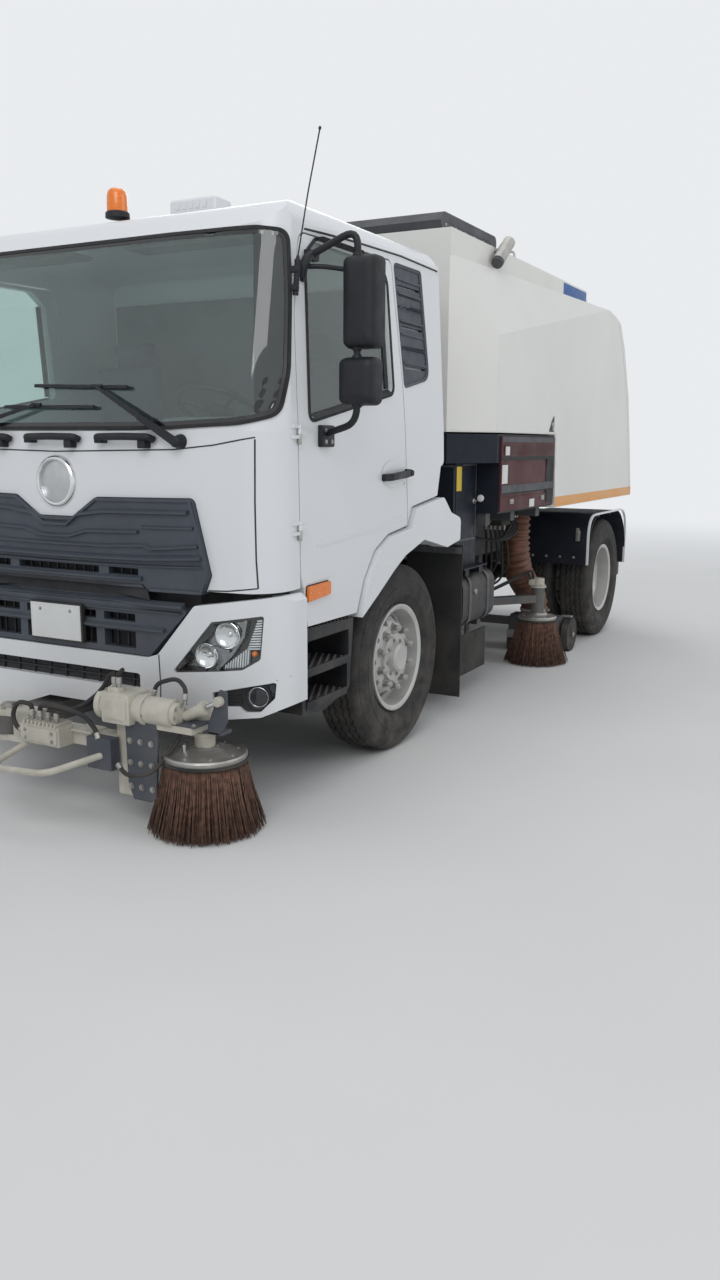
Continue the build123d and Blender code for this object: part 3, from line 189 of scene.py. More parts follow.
def window(name, tint, clear=0.9, straight_shine=0.05):
    """Clear or tinted glass: see-through with a sheen that grows at a slant, and a faint film of dust."""
    made = looks[name] = bpy.data.materials.new(name)
    made.use_nodes = True
    inner = made.node_tree
    inner.nodes.clear()
    through = add_node(inner, "BsdfTransparent", {"Color": tint})
    gloss = add_node(inner, "BsdfGlossy", {"Roughness": 0.02})
    facing = add_node(inner, "LayerWeight", {"Blend": 0.5}).outputs["Facing"]
    slant = add_node(inner, "Math", {0: facing, 1: 5.0}, operation="POWER")
    share = add_node(inner, "MapRange", {"Value": slant.outputs[0], "To Min": straight_shine})
    shine = add_node(inner, "MixShader", {0: share.outputs["Result"], 1: through.outputs[0], 2: gloss.outputs[0]})
    film = add_node(inner, "BsdfDiffuse", {"Color": (0.45, 0.44, 0.42)})
    place = add_node(inner, "TexCoord").outputs["Object"]
    patches = add_node(inner, "TexNoise", {"Scale": 3.0, "Detail": 8.0, "Vector": place}).outputs["Fac"]
    spots = add_node(inner, "MapRange", {"Value": patches, "From Min": 0.35, "From Max": 0.8, "To Min": 0.0,
                                         "To Max": 1 - clear})
    filmed = add_node(inner, "MixShader", {0: spots.outputs[0], 1: shine.outputs[0], 2: film.outputs[0]})
    add_node(inner, "OutputMaterial", {"Surface": filmed.outputs[0]})


floor_grey = surface("floor_grey", (0.74, 0.73, 0.71), rough=0.85, variation=0.015, scale=0.6)
tree = floor_grey.node_tree
floor_place = add_node(tree, "TexCoord").outputs["Object"]
far_off = add_node(tree, "VectorMath", {0: floor_place}, operation="LENGTH")
fade = add_node(tree, "MapRange", {"Value": far_off.outputs["Value"], "From Min": 4.5, "From Max": 18.0},
                interpolation_type="SMOOTHSTEP")
surround = add_node(tree, "Emission", {"Color": SKY_SEEN, "Strength": SKY_STRENGTH})
faded = add_node(tree, "MixShader", {0: fade.outputs["Result"], 1: tree.nodes["Principled BSDF"].outputs[0],
                                     2: surround.outputs[0]})
tree.links.new(faded.outputs[0], tree.nodes["Material Output"].inputs["Surface"])
floor_mesh = bpy.data.meshes.new("floor")
floor_mesh.from_pydata([(-300, -300, 0), (300, -300, 0), (300, 300, 0), (-300, 300, 0)], [], [(0, 1, 2, 3)])
floor_mesh.materials.append(floor_grey)
floor = bpy.data.objects.new("floor", floor_mesh)
scene.collection.objects.link(floor)

# Materials. Painted steel with dust low down, moulded and rubber parts, glass, lenses, bright metal, bristles
# and cloth, by the names of the record's slots where it has one; the body's cream carries the yellow stripe.
YELLOW_STRIPE = ((0.72, 0.29, 0.004), 1.243, 1.318, 2.36 + AXLE_Y)
surface("cab_white", (0.74, 0.75, 0.76), 0.36, coat=0.25, variation=0.008, scale=1.5, dust=0.35, dust_top=1.0)
surface("body_cream", (0.75, 0.74, 0.70), 0.42, coat=0.25, variation=0.02, scale=1.2, dust=0.3, dust_top=1.9,
        band=YELLOW_STRIPE)
surface("stripe_navy", (0.010, 0.014, 0.024), 0.5, coat=0.03, variation=0.1, dust=0.08, dust_top=1.7, specular=0.2)
# dark gloss paint with a reddish reflection painted into its colour: painted reflection, giving the maroon
surface("panel_maroon", (0.078, 0.020, 0.022), 0.5, coat=0.03, variation=0.12, scale=1.5, dust=0.10, dust_top=1.8,
        specular=0.2)
surface("frame_grey", (0.070, 0.074, 0.082), 0.6, variation=0.15, dust=0.45, dust_top=1.4, grain=0.15)
surface("frame_black", (0.016, 0.016, 0.018), 0.50, variation=0.2, dust=0.22, dust_top=1.2, grain=0.15)
surface("grille_grey", (0.050, 0.060, 0.078), 0.5, variation=0.06, grain=0.12, grain_scale=900, dust=0.2)
surface("trim_black", (0.010, 0.012, 0.016), 0.5, specular=0.35, variation=0.1, grain=0.2, grain_scale=900, dust=0.3)
surface("cab_trim", (0.20, 0.205, 0.21), 0.7, variation=0.06, grain=0.3, grain_scale=700)
surface("wheel_white", (0.56, 0.56, 0.54), 0.42, metallic=0.25, variation=0.06, scale=9, dust=0.35, dust_top=1.2)
surface("tyre", (0.028, 0.027, 0.027), 0.85, variation=0.12, scale=16, grain=0.4, grain_scale=300, dust=0.22,
        dust_top=1.2)
surface("rubber", (0.018, 0.018, 0.019), 0.8, variation=0.15, grain=0.2, dust=0.22, dust_top=1.0)
surface("hose", (0.15, 0.055, 0.028), 0.55, variation=0.2, scale=14, dust=0.3)
window("glass", (0.80, 0.87, 0.85), 0.95, 0.09)
window("lamp", (0.93, 0.95, 0.95), 0.97)
window("screen_glass", (0.84, 0.93, 0.92), 0.95, 0.08)
surface("bristle", (0.17, 0.085, 0.055), 0.7, variation=0.35, scale=40)
# painted shade: the inside of the tufts, darker than the bristles' own colour
surface("bristle_painted_shade", (0.030, 0.018, 0.014), 0.9, variation=0.3, scale=40)
surface("iron", (0.045, 0.043, 0.04), 0.65, metallic=0.3, variation=0.2, scale=10, grain=0.4, dust=0.35, dust_top=1.3)
surface("steel_rod", (0.55, 0.55, 0.57), 0.2, metallic=1.0, variation=0.03)
surface("bare_steel", (0.42, 0.41, 0.39), 0.45, metallic=0.8, variation=0.12, scale=15, dust=0.4, dust_top=0.9)
surface("boom_cream", (0.56, 0.53, 0.45), 0.5, variation=0.08, scale=14, dust=0.7, dust_top=0.8)
surface("satin_silver", (0.52, 0.53, 0.54), 0.35, metallic=0.8, variation=0.04, scale=20)
surface("reflector", (0.30, 0.31, 0.32), 0.22, metallic=0.9, variation=0.1, scale=30)
surface("chrome", (0.75, 0.75, 0.76), 0.12, metallic=1.0, variation=0.02)
surface("mirror_glass", (0.62, 0.66, 0.68), 0.04, metallic=1.0, variation=0.01)
surface("amber", (0.85, 0.20, 0.01), 0.25, coat=0.5, variation=0.05, scale=40)
surface("red_lens", (0.45, 0.01, 0.01), 0.25, coat=0.5, variation=0.05, scale=40)
surface("clear_lens", (0.75, 0.77, 0.78), 0.18, metallic=0.4, coat=0.6, variation=0.08, scale=30)
surface("label_white", (0.70, 0.70, 0.68), 0.5, variation=0.03)
surface("label_yellow", (0.72, 0.50, 0.05), 0.5, variation=0.05)
surface("label_blue", (0.02, 0.10, 0.32), 0.45, variation=0.05)
surface("screen_print", (0.008, 0.008, 0.009), 0.15, coat=0.6, variation=0.05)
surface("seam_dark", (0.03, 0.03, 0.033), 0.8, variation=0.05)
surface("seat_cloth", (0.12, 0.13, 0.15), 0.9, variation=0.15, scale=120, grain=0.6, grain_scale=1500)
for entry in frame["record"]["subparts"]:
    worn = nodes[entry["node"]]
    worn.data.materials.clear()
    worn.data.materials.append(looks[entry["material_slot"]])

# Road wheels. Steel-belted tyres with zigzag grooves between five ribs, the rear ones with cross lugs, on
# painted disc wheels held by ten nuts with washers; the hubs end in a cap with its own ring of small bolts.
TYRE_RADIUS, TYRE_WIDTH, AXLE_Z = 0.5225, 0.290, 0.5225
FRONT_FACE, REAR_FACE, WHEELBASE, DUAL_STEP = 1.165, 1.230, 4.060, 0.335
LEFT_AND_RIGHT = ((1, "left"), (-1, "right"))


def gather(parts):
    """One (vertices, faces) from one or from several."""
    if isinstance(parts, tuple):
        return parts
    vertices, faces = [], []
    for some_vertices, some_faces in parts:
        start = len(vertices)
        vertices += [tuple(v) for v in some_vertices]
        faces += [tuple(i + start for i in face) for face in some_faces]
    return vertices, faces


def piece(name, parts, body, look, crease=35.0):
    """A mesh piece in axle stations: moved into the frame, shaded smooth up to a crease angle, riding on a body."""
    vertices, faces = gather(parts)
    mesh = bpy.data.meshes.new(name)
    mesh.from_pydata([(x, y + AXLE_Y, z) for x, y, z in vertices], [], [tuple(face) for face in faces])
    work = bmesh.new()
    work.from_mesh(mesh)
    bmesh.ops.remove_doubles(work, verts=work.verts, dist=1e-6)
    bmesh.ops.recalc_face_normals(work, faces=work.faces)
    for face in work.faces:
        face.smooth = True
    for edge in work.edges:
        if len(edge.link_faces) == 2 and edge.calc_face_angle() > math.radians(crease):
            edge.smooth = False
    work.to_mesh(mesh)
    work.free()
    mesh.materials.append(looks[look])
    made = bpy.data.objects.new(name, mesh)
    scene.collection.objects.link(made)
    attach(made, body)
    return made


def flip(parts, side):
    """Left-hand parts on the side asked for."""
    vertices, faces = gather(parts)
    return [(x * side, y, z) for x, y, z in vertices], faces


def both(parts):
    """Left-hand parts on both sides."""
    return [flip(parts, side) for side in (1, -1)]


def quads(rings, count, loop=False):
    """The faces between rings of as many points; a loop joins the last ring to the first."""
    faces = []
    for ring in range(rings if loop else rings - 1):
        here, there = ring * count, (ring + 1) % rings * count
        faces += [(here + i, here + (i + 1) % count, there + (i + 1) % count, there + i) for i in range(count)]
    return faces


def capped(rings, count):
    """The faces of a rod of rings, with one face across each end."""
    return quads(rings, count) + [tuple(range(count)), tuple(range((rings - 1) * count, rings * count))]


def around(count, radius, start=0.0):
    """Offsets to points evenly round a circle, from a start angle in degrees."""
    angles = [math.radians(start + 360 * k / count) for k in range(count)]
    return [(radius * math.cos(angle), radius * math.sin(angle)) for angle in angles]


def prism(outline, axis, low, high, chamfer=0.0):
    """An outline of two coordinates carried along the third axis, with an optional chamfer round both ends."""
    order = {"x": lambda a, b, c: (c, a, b), "y": lambda a, b, c: (a, c, b)}[axis]
    count = len(outline)
    rings = [(low, 0.0), (high, 0.0)]
    if chamfer:
        rings = [(low, chamfer), (low + chamfer, 0.0), (high - chamfer, 0.0), (high, chamfer)]
    centre = (sum(p[0] for p in outline) / count, sum(p[1] for p in outline) / count)
    vertices = []
    for level_at, inset in rings:
        for a, b in outline:
            reach = math.hypot(a - centre[0], b - centre[1]) or 1.0
            pull = 1 - min(0.9, inset / reach)
            vertices.append(order(centre[0] + (a - centre[0]) * pull, centre[1] + (b - centre[1]) * pull, level_at))
    return vertices, capped(len(rings), count)


def box(x, y, z, round_off=0.004):
    """A box between two values on each axis with rounded edges."""
    work = bmesh.new()
    bmesh.ops.create_cube(work, size=1.0)
    size = [abs(v[1] - v[0]) for v in (x, y, z)]
    middle = [(v[0] + v[1]) / 2 for v in (x, y, z)]
    for vertex in work.verts:
        vertex.co = Vector([middle[i] + vertex.co[i] * size[i] for i in range(3)])
    width = min(round_off, 0.45 * min(size))
    bmesh.ops.bevel(work, geom=list(work.edges), offset=width, segments=2, profile=0.7, affect="EDGES")
    work.verts.index_update()
    part = [tuple(v.co) for v in work.verts], [tuple(v.index for v in f.verts) for f in work.faces]
    work.free()
    return part


def frame_of(direction):
    """Two unit vectors square to a direction."""
    direction = Vector(direction).normalized()
    first = direction.orthogonal().normalized()
    return first, direction.cross(first)


def lathe(profile, centre, direction, sides=32, squeeze=None):
    """A profile of (along, radius) pairs turned about a line; closed at its ends where the radius is zero."""
    direction = Vector(direction).normalized()
    first, second = frame_of(direction)
    centre = Vector(centre)
    vertices, count = [], len(profile)
    for i in range(sides):
        angle = 2 * math.pi * i / sides
        outward = first * math.cos(angle) + second * math.sin(angle)
        for along, radius in profile:
            shift = squeeze(angle, along, radius) if squeeze else 0.0
            vertices.append(tuple(centre + direction * (along + shift) + outward * radius))
    faces = []
    for i in range(sides):
        here, there = i * count, (i + 1) % sides * count
        faces += [(here + k, here + k + 1, there + k + 1, there + k) for k in range(count - 1)]
    return vertices, faces


def bar(start, end, radius, sides=16, round_off=0.15):
    """A round bar with softened ends."""
    reach = (Vector(end) - Vector(start)).length
    soft = min(radius, reach / 2) * round_off
    profile = [(0, 0), (0, radius - soft), (soft, radius), (reach - soft, radius), (reach, radius - soft), (reach, 0)]
    return lathe(profile, start, Vector(end) - Vector(start), sides)


def bolts(places, direction, radius, height, washer=1.5):
    """Hexagon heads on washers, standing along a direction."""
    rim, top, shoulder = radius * washer, height * 0.25, radius * 0.8
    head = [(height * 0.2, 0), (height * 0.2, radius), (height * 0.9, radius), (height, shoulder), (height, 0)]
    parts = []
    for place in places:
        parts.append(lathe([(0, 0), (0, rim), (top, rim), (top, 0)], place, direction, 14))
        parts.append(lathe(head, place, direction, 6))
    return gather(parts)


def turned(before, corner, after, cut_before, cut_after, steps):
    """The points of a short curve that cuts off a corner."""
    first = corner + (before - corner).normalized() * cut_before
    last = corner + (after - corner).normalized() * cut_after
    shares = [step / steps for step in range(steps + 1)]
    return [first * (1 - t) ** 2 + corner * 2 * t * (1 - t) + last * t ** 2 for t in shares]


def stepped(points, spacing):
    """A line with points no further apart than a spacing."""
    finer = []
    for first, last in zip(points, points[1:]):
        steps = max(1, int((last - first).length / spacing))
        finer += [first.lerp(last, step / steps) for step in range(steps)]
    return finer + [points[-1]]


def tube(points, radius, sides=10, bend=0.05, ripple=None):
    """A round tube along a line with turned corners; ripple is a spacing and a factor on the radius along it."""
    points = [Vector(p) for p in points]
    line = [points[0]]
    for before, corner, after in zip(points, points[1:], points[2:]):
        cut = min(bend, (before - corner).length * 0.48, (after - corner).length * 0.48)
        line += turned(before, corner, after, cut, cut, 6)
    line.append(points[-1])
    if ripple:
        line = stepped(line, ripple[0])
    vertices = []
    across = (line[1] - line[0]).normalized().orthogonal().normalized()
    distance = 0.0
    for i, point in enumerate(line):
        tangent = (line[min(i + 1, len(line) - 1)] - line[max(i - 1, 0)]).normalized()
        across = (across - tangent * across.dot(tangent)).normalized()
        other = tangent.cross(across)
        if i:
            distance += (point - line[i - 1]).length
        grown = radius * (ripple[1](distance) if ripple else 1.0)
        vertices += [tuple(point + (across * c + other * s) * grown) for c, s in around(sides, 1.0)]
    return vertices, capped(len(line), sides)


trees = {}


def cast(names, start, direction):
    """Where a ray first meets the named CAD nodes, in axle stations, or None."""
    best = None
    for name in names:
        if name not in trees:
            trees[name] = BVHTree.FromObject(nodes[name], bpy.context.evaluated_depsgraph_get())
        hit = trees[name].ray_cast(Vector((start[0], start[1] + AXLE_Y, start[2])), Vector(direction))
        if hit[0] is not None and (best is None or hit[3] < best[1]):
            best = (hit[0] - Vector((0, AXLE_Y, 0)), hit[3])
    return best[0] if best else None


def on_front(*names, fallback=-1.42):
    """The front face of the named nodes: gives its point at (x, z), lifted forwards."""
    def place(x, z, lift=0.0):
        hit = cast(names, (x, -3.0, z), (0, 1, 0))
        return (x, (hit.y if hit else fallback) - lift, z)
    return place


def on_side(*names, fallback=1.2):
    """The left face of the named nodes: gives its point at (y, z), lifted outwards."""
    def place(y, z, lift=0.0):
        hit = cast(names, (3.0, y, z), (-1, 0, 0))
        return ((hit.x if hit else fallback) + lift, y, z)
    return place


def on_tail(*names, fallback=4.76):
    """The rear face of the named nodes: gives its point at (x, z), lifted rearwards."""
    def place(x, z, lift=0.0):
        hit = cast(names, (x, 7.0, z), (0, -1, 0))
        return (x, (hit.y if hit else fallback) + lift, z)
    return place


def strip(line, width, where, lift=0.001, depth=0.003, closed=False, spacing=0.03):
    """A thin band draped on a face along a line of two coordinates, such as a seam, seal or trim."""
    points = [Vector((*p, 0)) for p in line]
    finer = stepped(points + points[:1] if closed else points, spacing)
    vertices = []
    for i, point in enumerate(finer):
        before = finer[i - 1] if i else (finer[-2] if closed else point)
        after = finer[i + 1] if i + 1 < len(finer) else (finer[1] if closed else point)
        run = (after - before).normalized()
        sideways = Vector((-run.y, run.x, 0)) * width / 2
        for way, raised in ((1, lift), (-1, lift), (-1, lift - depth), (1, lift - depth)):
            spot = point + sideways * way
            vertices.append(where(spot.x, spot.y, raised))
    return vertices, quads(len(finer), 4) if closed else capped(len(finer), 4)


def smooth_outline(corners, steps=6):
    """A closed outline of (u, v, radius) corners with turned corners, as a list of points."""
    points = []
    for i, corner in enumerate(corners):
        here = Vector(corner[:2])
        before, after = Vector(corners[i - 1][:2]), Vector(corners[(i + 1) % len(corners)][:2])
        radius = corner[2] if len(corner) > 2 else 0.0
        if radius <= 0:
            points.append(tuple(here))
            continue
        turn = (before - here).angle(after - here)
        cut = min(radius / max(0.05, math.tan(turn / 2)), 0.48 * (before - here).length, 0.48 * (after - here).length)
        points += [tuple(point) for point in turned(before, here, after, cut, cut, steps)]
    return points


def refined(outline, spacing):
    """The same closed outline with points no further apart than a spacing."""
    points = [Vector(point) for point in outline]
    return [tuple(point) for point in stepped(points + points[:1], spacing)[:-1]]


def pulled(outline, amount):
    """An outline drawn towards its inside by an amount."""
    made, count = [], len(outline)
    area = sum(a[0] * b[1] - b[0] * a[1] for a, b in zip(outline, outline[1:] + outline[:1]))
    turn = 1 if area > 0 else -1
    for i in range(count):
        run = Vector(outline[(i + 1) % count]) - Vector(outline[i - 1])
        run = run.normalized() if run.length > 1e-9 else Vector((1, 0))
        made.append(tuple(Vector(outline[i]) + Vector((-run.y, run.x)) * amount * turn))
    return made


def draped(outline, where, lift=0.002, depth=0.004, rows=1):
    """A thin plate draped on a face, filled from its outline towards its middle."""
    count = len(outline)
    centre = (sum(p[0] for p in outline) / count, sum(p[1] for p in outline) / count)
    vertices = []
    for ring in range(rows + 1):
        pull = 1 - ring / (rows + 0.35)
        vertices += [where(centre[0] + (u - centre[0]) * pull, centre[1] + (v - centre[1]) * pull, lift)
                     for u, v in outline]
    faces = quads(rows + 1, count) + [tuple(range(rows * count, (rows + 1) * count))]
    base = len(vertices)
    vertices += [where(u, v, lift - depth) for u, v in outline]
    return vertices, faces + [(i, (i + 1) % count, base + (i + 1) % count, base + i) for i in range(count)]


def border(outer, inner, where, lift, depth=0.003):
    """A flat ring between two outlines of as many points, draped on a face."""
    vertices = []
    for line, raised in ((outer, lift), (inner, lift), (inner, lift - depth), (outer, lift - depth)):
        vertices += [where(u, v, raised) for u, v in line]
    return vertices, quads(4, len(outer), True)


def tyre_shape(face_x, y, lugged):
    """A tyre's section turned about its axle, with its grooves zigzagging round the tread, and its shoulder lugs."""
    crown, deep = TYRE_RADIUS, TYRE_RADIUS - 0.013
    half = [
        (0.050, 0.2853), (0.0485, 0.305), (0.036, 0.320), (0.020, 0.345), (0.012, 0.352), (0.0095, 0.358),
        (0.006, 0.385), (0.0015, 0.410), (0.0045, 0.412), (0.0055, 0.436), (0.0035, 0.438), (0.008, 0.466),
        (0.016, 0.486), (0.020, 0.4885), (0.026, 0.505), (0.036, 0.5165), (0.050, crown - 0.0005),
    ]
    tread = []
    for groove in (0.083, 0.122, 0.168, 0.207):
        tread += [(groove - 0.0065, crown), (groove - 0.0045, deep), (groove + 0.0045, deep), (groove + 0.0065, crown)]
    section = half + tread + [(TYRE_WIDTH - a, r) for a, r in reversed(half)]

    def wander(angle, along, radius):
        if radius < TYRE_RADIUS - 0.02 or along > -0.06 or along < 0.06 - TYRE_WIDTH:
            return 0.0
        phase = (angle / (2 * math.pi) * 52) % 1.0
        return 0.007 * (abs(phase - 0.5) * 4 - 1)

    parts = [lathe([(-along, radius) for along, radius in section], (face_x, y, AXLE_Z), (1, 0, 0), 208, wander)]
    lugs, width = (104, 0.009) if lugged else (78, 0.011)
    for cosine, sine in around(lugs, 1.0):
        outward, tangent = Vector((0, cosine, sine)), Vector((0, -sine, cosine))
        for ends in (((0.030, 0.5105), (0.062, 0.5222)), ((TYRE_WIDTH - 0.062, 0.5222), (TYRE_WIDTH - 0.030, 0.5105))):
            corners = []
            for along, reach in ends:
                for sign, drop in ((-1, 0.0), (-1, 0.02), (1, 0.0), (1, 0.02)):
                    spot = Vector((face_x - along, y, AXLE_Z)) + outward * (reach - drop) + tangent * sign * width
                    corners.append(tuple(spot))
            parts.append((corners, [(0, 1, 3, 2), (4, 6, 7, 5), (0, 2, 6, 4), (1, 5, 7, 3), (0, 4, 5, 1),
                                    (2, 3, 7, 6)]))
    return gather(parts)


def hub_face(face_x, y, seat, cap_reach, cap_radius):
    """Wheel nuts on washers round a bolt circle, and the hub cap's ring of bolts."""
    nuts = []
    for dy, dz in around(10, 0.1675, 18):
        at = (face_x - seat, y + dy, AXLE_Z + dz)
        nuts.append(lathe([(0, 0), (0, 0.026), (0.006, 0.026), (0.006, 0.0)], at, (1, 0, 0), 18))
        nuts.append(lathe([(0.004, 0), (0.004, 0.0185), (0.030, 0.0185), (0.033, 0.016), (0.033, 0.0)],
                          at, (1, 0, 0), 6))
        nuts.append(lathe([(0.03, 0), (0.03, 0.0105), (0.047, 0.0105), (0.049, 0.008), (0.049, 0)], at, (1, 0, 0), 12))
    ring = [(face_x - cap_reach, y + dy, AXLE_Z + dz) for dy, dz in around(8, cap_radius, 10)]
    return nuts, bolts(ring, (1, 0, 0), 0.008, 0.009)


for side, word in LEFT_AND_RIGHT:
    made = piece(f"front_tyre_detail_{word}", flip(tyre_shape(FRONT_FACE, 0, False), side), f"front_wheel_{word}",
                 "tyre")
    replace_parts(made, f"front_tyre_{word}")
    nuts, ring = hub_face(FRONT_FACE, 0, 0.066, 0.046, 0.100)
    piece(f"front_nuts_{word}", flip(nuts, side), f"front_wheel_{word}", "bare_steel")
    piece(f"front_hub_bolts_{word}", flip(ring, side), f"front_wheel_{word}", "bare_steel")
    twin = [tyre_shape(face_x, WHEELBASE, True) for face_x in (REAR_FACE, REAR_FACE - DUAL_STEP)]
    made = piece(f"rear_tyres_detail_{word}", flip(twin, side), f"rear_wheels_{word}", "tyre")
    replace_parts(made, f"rear_tyres_{word}")
    nuts, ring = hub_face(REAR_FACE, WHEELBASE, 0.250, 0.149, 0.070)
    piece(f"rear_nuts_{word}", flip(nuts, side), f"rear_wheels_{word}", "bare_steel")
    piece(f"rear_hub_bolts_{word}", flip(ring, side), f"rear_wheels_{word}", "bare_steel")

# Front boom. A cream steel arm on a swing pivot: a valve box with cooling fins, hydraulic motors with
# ports and bolts, a tilt cylinder beside the head, and black rubber hoses clipped along the arm.
BOOM_Y, TURRET_X = -1.64, -0.15
FRONT_BRUSH_X, FRONT_BRUSH_Y = 0.925, -1.516
castings = [
    box((0.072, 0.290), (BOOM_Y - 0.139, BOOM_Y - 0.129), (0.352, 0.418), 0.004),
    box((0.305, 0.43), (BOOM_Y - 0.062, BOOM_Y + 0.045), (0.405, 0.415), 0.003),
    bar((0.455, BOOM_Y, 0.545), (0.485, BOOM_Y, 0.545), 0.070, 28),
    bar((0.700, BOOM_Y, 0.545), (0.722, BOOM_Y, 0.545), 0.071, 28),
    bar((0.855, BOOM_Y, 0.545), (0.885, BOOM_Y, 0.545), 0.050, 28),
    *(bar((FRONT_BRUSH_X, FRONT_BRUSH_Y, low), (FRONT_BRUSH_X, FRONT_BRUSH_Y, high), radius, 28)
      for low, high, radius in ((0.518, 0.545, 0.036), (0.430, 0.448, 0.056))),
]
for k in range(9):
    at_x = 0.085 + 0.024 * k
    castings.append(box((at_x, at_x + 0.009), (BOOM_Y - 0.136, BOOM_Y - 0.034), (0.429, 0.449), 0.002))
piece("boom_castings", castings, "boom", "boom_cream")
piece("boom_motor_cover", [
    box((0.505, 0.665), (BOOM_Y - 0.074, BOOM_Y + 0.074), (0.478, 0.618), 0.012),
    box((0.52, 0.65), (BOOM_Y - 0.080, BOOM_Y + 0.060), (0.50, 0.60), 0.006),
    box((0.536, 0.60), (BOOM_Y - 0.060, BOOM_Y - 0.02), (0.612, 0.640), 0.006),
], "boom", "boom_cream")
piece("boom_dark_plates", [
    box((0.43, 0.572), (BOOM_Y - 0.096, BOOM_Y - 0.034), (0.262, 0.408), 0.006),
    prism([(0.604, 0.505), (0.776, 0.505), (0.790, 0.43), (0.770, 0.15), (0.735, 0.128), (0.640, 0.128), (0.612, 0.2)],
          "y", BOOM_Y - 0.034, BOOM_Y - 0.021, 0.003),
    prism([(0.985, 0.495), (1.052, 0.660), (1.088, 0.655), (1.088, 0.520), (1.045, 0.455), (0.985, 0.455)],
          "y", -1.575, -1.562, 0.003),
    box((0.600, 0.985), (BOOM_Y - 0.028, -1.488), (0.4985, 0.5065), 0.003),
    box((0.955, 1.06), (-1.575, -1.50), (0.455, 0.469), 0.004),
], "boom", "grille_grey")
piece("tilt_cylinder_rod", [
    bar((0.955, -1.592, 0.562), (1.060, -1.592, 0.612), 0.011, 14),
    bar((0.875, -1.60, 0.40), (0.875, -1.60, 0.36), 0.010, 12),
], "boom", "steel_rod")
piece("tilt_cylinder", [
    bar((0.800, -1.592, 0.488), (0.985, -1.592, 0.576), 0.027, 20),
    bar((0.790, -1.592, 0.484), (0.812, -1.592, 0.494), 0.032, 20),
    bar((0.968, -1.592, 0.568), (0.990, -1.592, 0.579), 0.032, 20),
    bar((1.056, -1.605, 0.612), (1.056, -1.560, 0.612), 0.022, 16),
], "boom", "boom_cream")

heads = [
    bolts([(x, BOOM_Y - 0.034, z) for x in (0.63, 0.69, 0.75) for z in (0.19, 0.30, 0.40)], (0, -1, 0), 0.010, 0.011),
    bolts([(x, BOOM_Y - 0.139, z) for x in (0.098, 0.262) for z in (0.366, 0.404)], (0, -1, 0), 0.006, 0.007),
    bolts([(x, y, 0.5065) for x in (0.80, 0.86, 0.97) for y in (BOOM_Y - 0.010, -1.515)], (0, 0, 1), 0.008, 0.009),
]
for at_x, reach in ((0.722, 0.058), (0.885, 0.038)):
    heads.append(bolts([(at_x, BOOM_Y + dy, 0.545 + dz) for dy, dz in around(6, reach, 12)], (1, 0, 0), 0.006, 0.008))
piece("boom_bolts", heads, "boom", "bare_steel")
ports = [(x, BOOM_Y - 0.10, 0.445) for x in (0.11, 0.16, 0.21, 0.26)]
ports += [(0.56, BOOM_Y - 0.04, 0.636), (0.586, BOOM_Y - 0.04, 0.636), (0.90, BOOM_Y + 0.02, 0.586)]
piece("boom_hose_fittings", bolts(ports, (0, 0, 1), 0.010, 0.020, 1.2), "boom", "bare_steel")

# each hose: its radius and its line, as (x, reach behind the boom's middle, z)
hoses, crimps = [], []
for radius, *line in (
    (0.011, (0.11, -0.10, 0.462), (0.11, -0.10, 0.515), (0.02, -0.105, 0.52), (-0.02, -0.10, 0.44),
     (0.01, -0.10, 0.385), (0.055, -0.10, 0.385)),
    (0.011, (0.16, -0.10, 0.462), (0.16, -0.10, 0.515), (0.30, -0.105, 0.530), (0.42, -0.09, 0.50),
     (0.48, -0.085, 0.44), (0.50, -0.09, 0.402)),
    (0.010, (0.21, -0.10, 0.462), (0.21, -0.10, 0.500), (0.36, -0.075, 0.512), (0.46, -0.02, 0.60), (0.53, -0.03, 0.69),
     (0.56, -0.04, 0.70), (0.56, -0.04, 0.655)),
    (0.010, (0.26, -0.10, 0.462), (0.26, -0.10, 0.495), (0.38, -0.05, 0.520), (0.50, 0.05, 0.665),
     (0.586, -0.01, 0.715), (0.586, -0.04, 0.70), (0.586, -0.04, 0.655)),
    (0.010, (0.72, 0.03, 0.605), (0.74, 0.03, 0.66), (0.83, 0.06, 0.69), (0.90, 0.03, 0.655), (0.90, 0.02, 0.605)),
    (0.010, (0.60, -0.085, 0.30), (0.66, -0.10, 0.26), (0.79, -0.09, 0.28), (0.84, 0.04, 0.40), (0.86, 0.055, 0.50)),
):
    line = [Vector((x, BOOM_Y + reach, z)) for x, reach, z in line]
    hoses.append(tube(line, radius, 10, 0.07))
    for first, second in ((line[0], line[1]), (line[-1], line[-2])):
        crimps.append(bar(first, first + (second - first).normalized() * 0.03, radius * 1.3, 12))
piece("boom_hoses", hoses, "boom", "rubber")
piece("boom_hose_crimps", crimps, "boom", "bare_steel")

ring = [(TURRET_X + dx, BOOM_Y + dy, 0.450) for dx, dy in around(8, 0.058, 22)]
turret_bolts = [bolts([(TURRET_X, BOOM_Y, 0.449)], (0, 0, 1), 0.026, 0.022), bolts(ring, (0, 0, 1), 0.007, 0.008)]
piece("turret_bolts", turret_bolts, "turret", "bare_steel")
for name in ("front_boom", "boom_turret"):
    nodes[name].data.materials[0] = looks["boom_cream"]

# Brushes. A pressed steel disc with a rim, clamp ring and hub bolts carries rows of stiff dark bristles
# that flare outwards; each bristle is a thin tapering blade set at its own angle.
random.seed(11)
SIDE_BRUSH_X, SIDE_BRUSH_Y = 1.080, 2.620


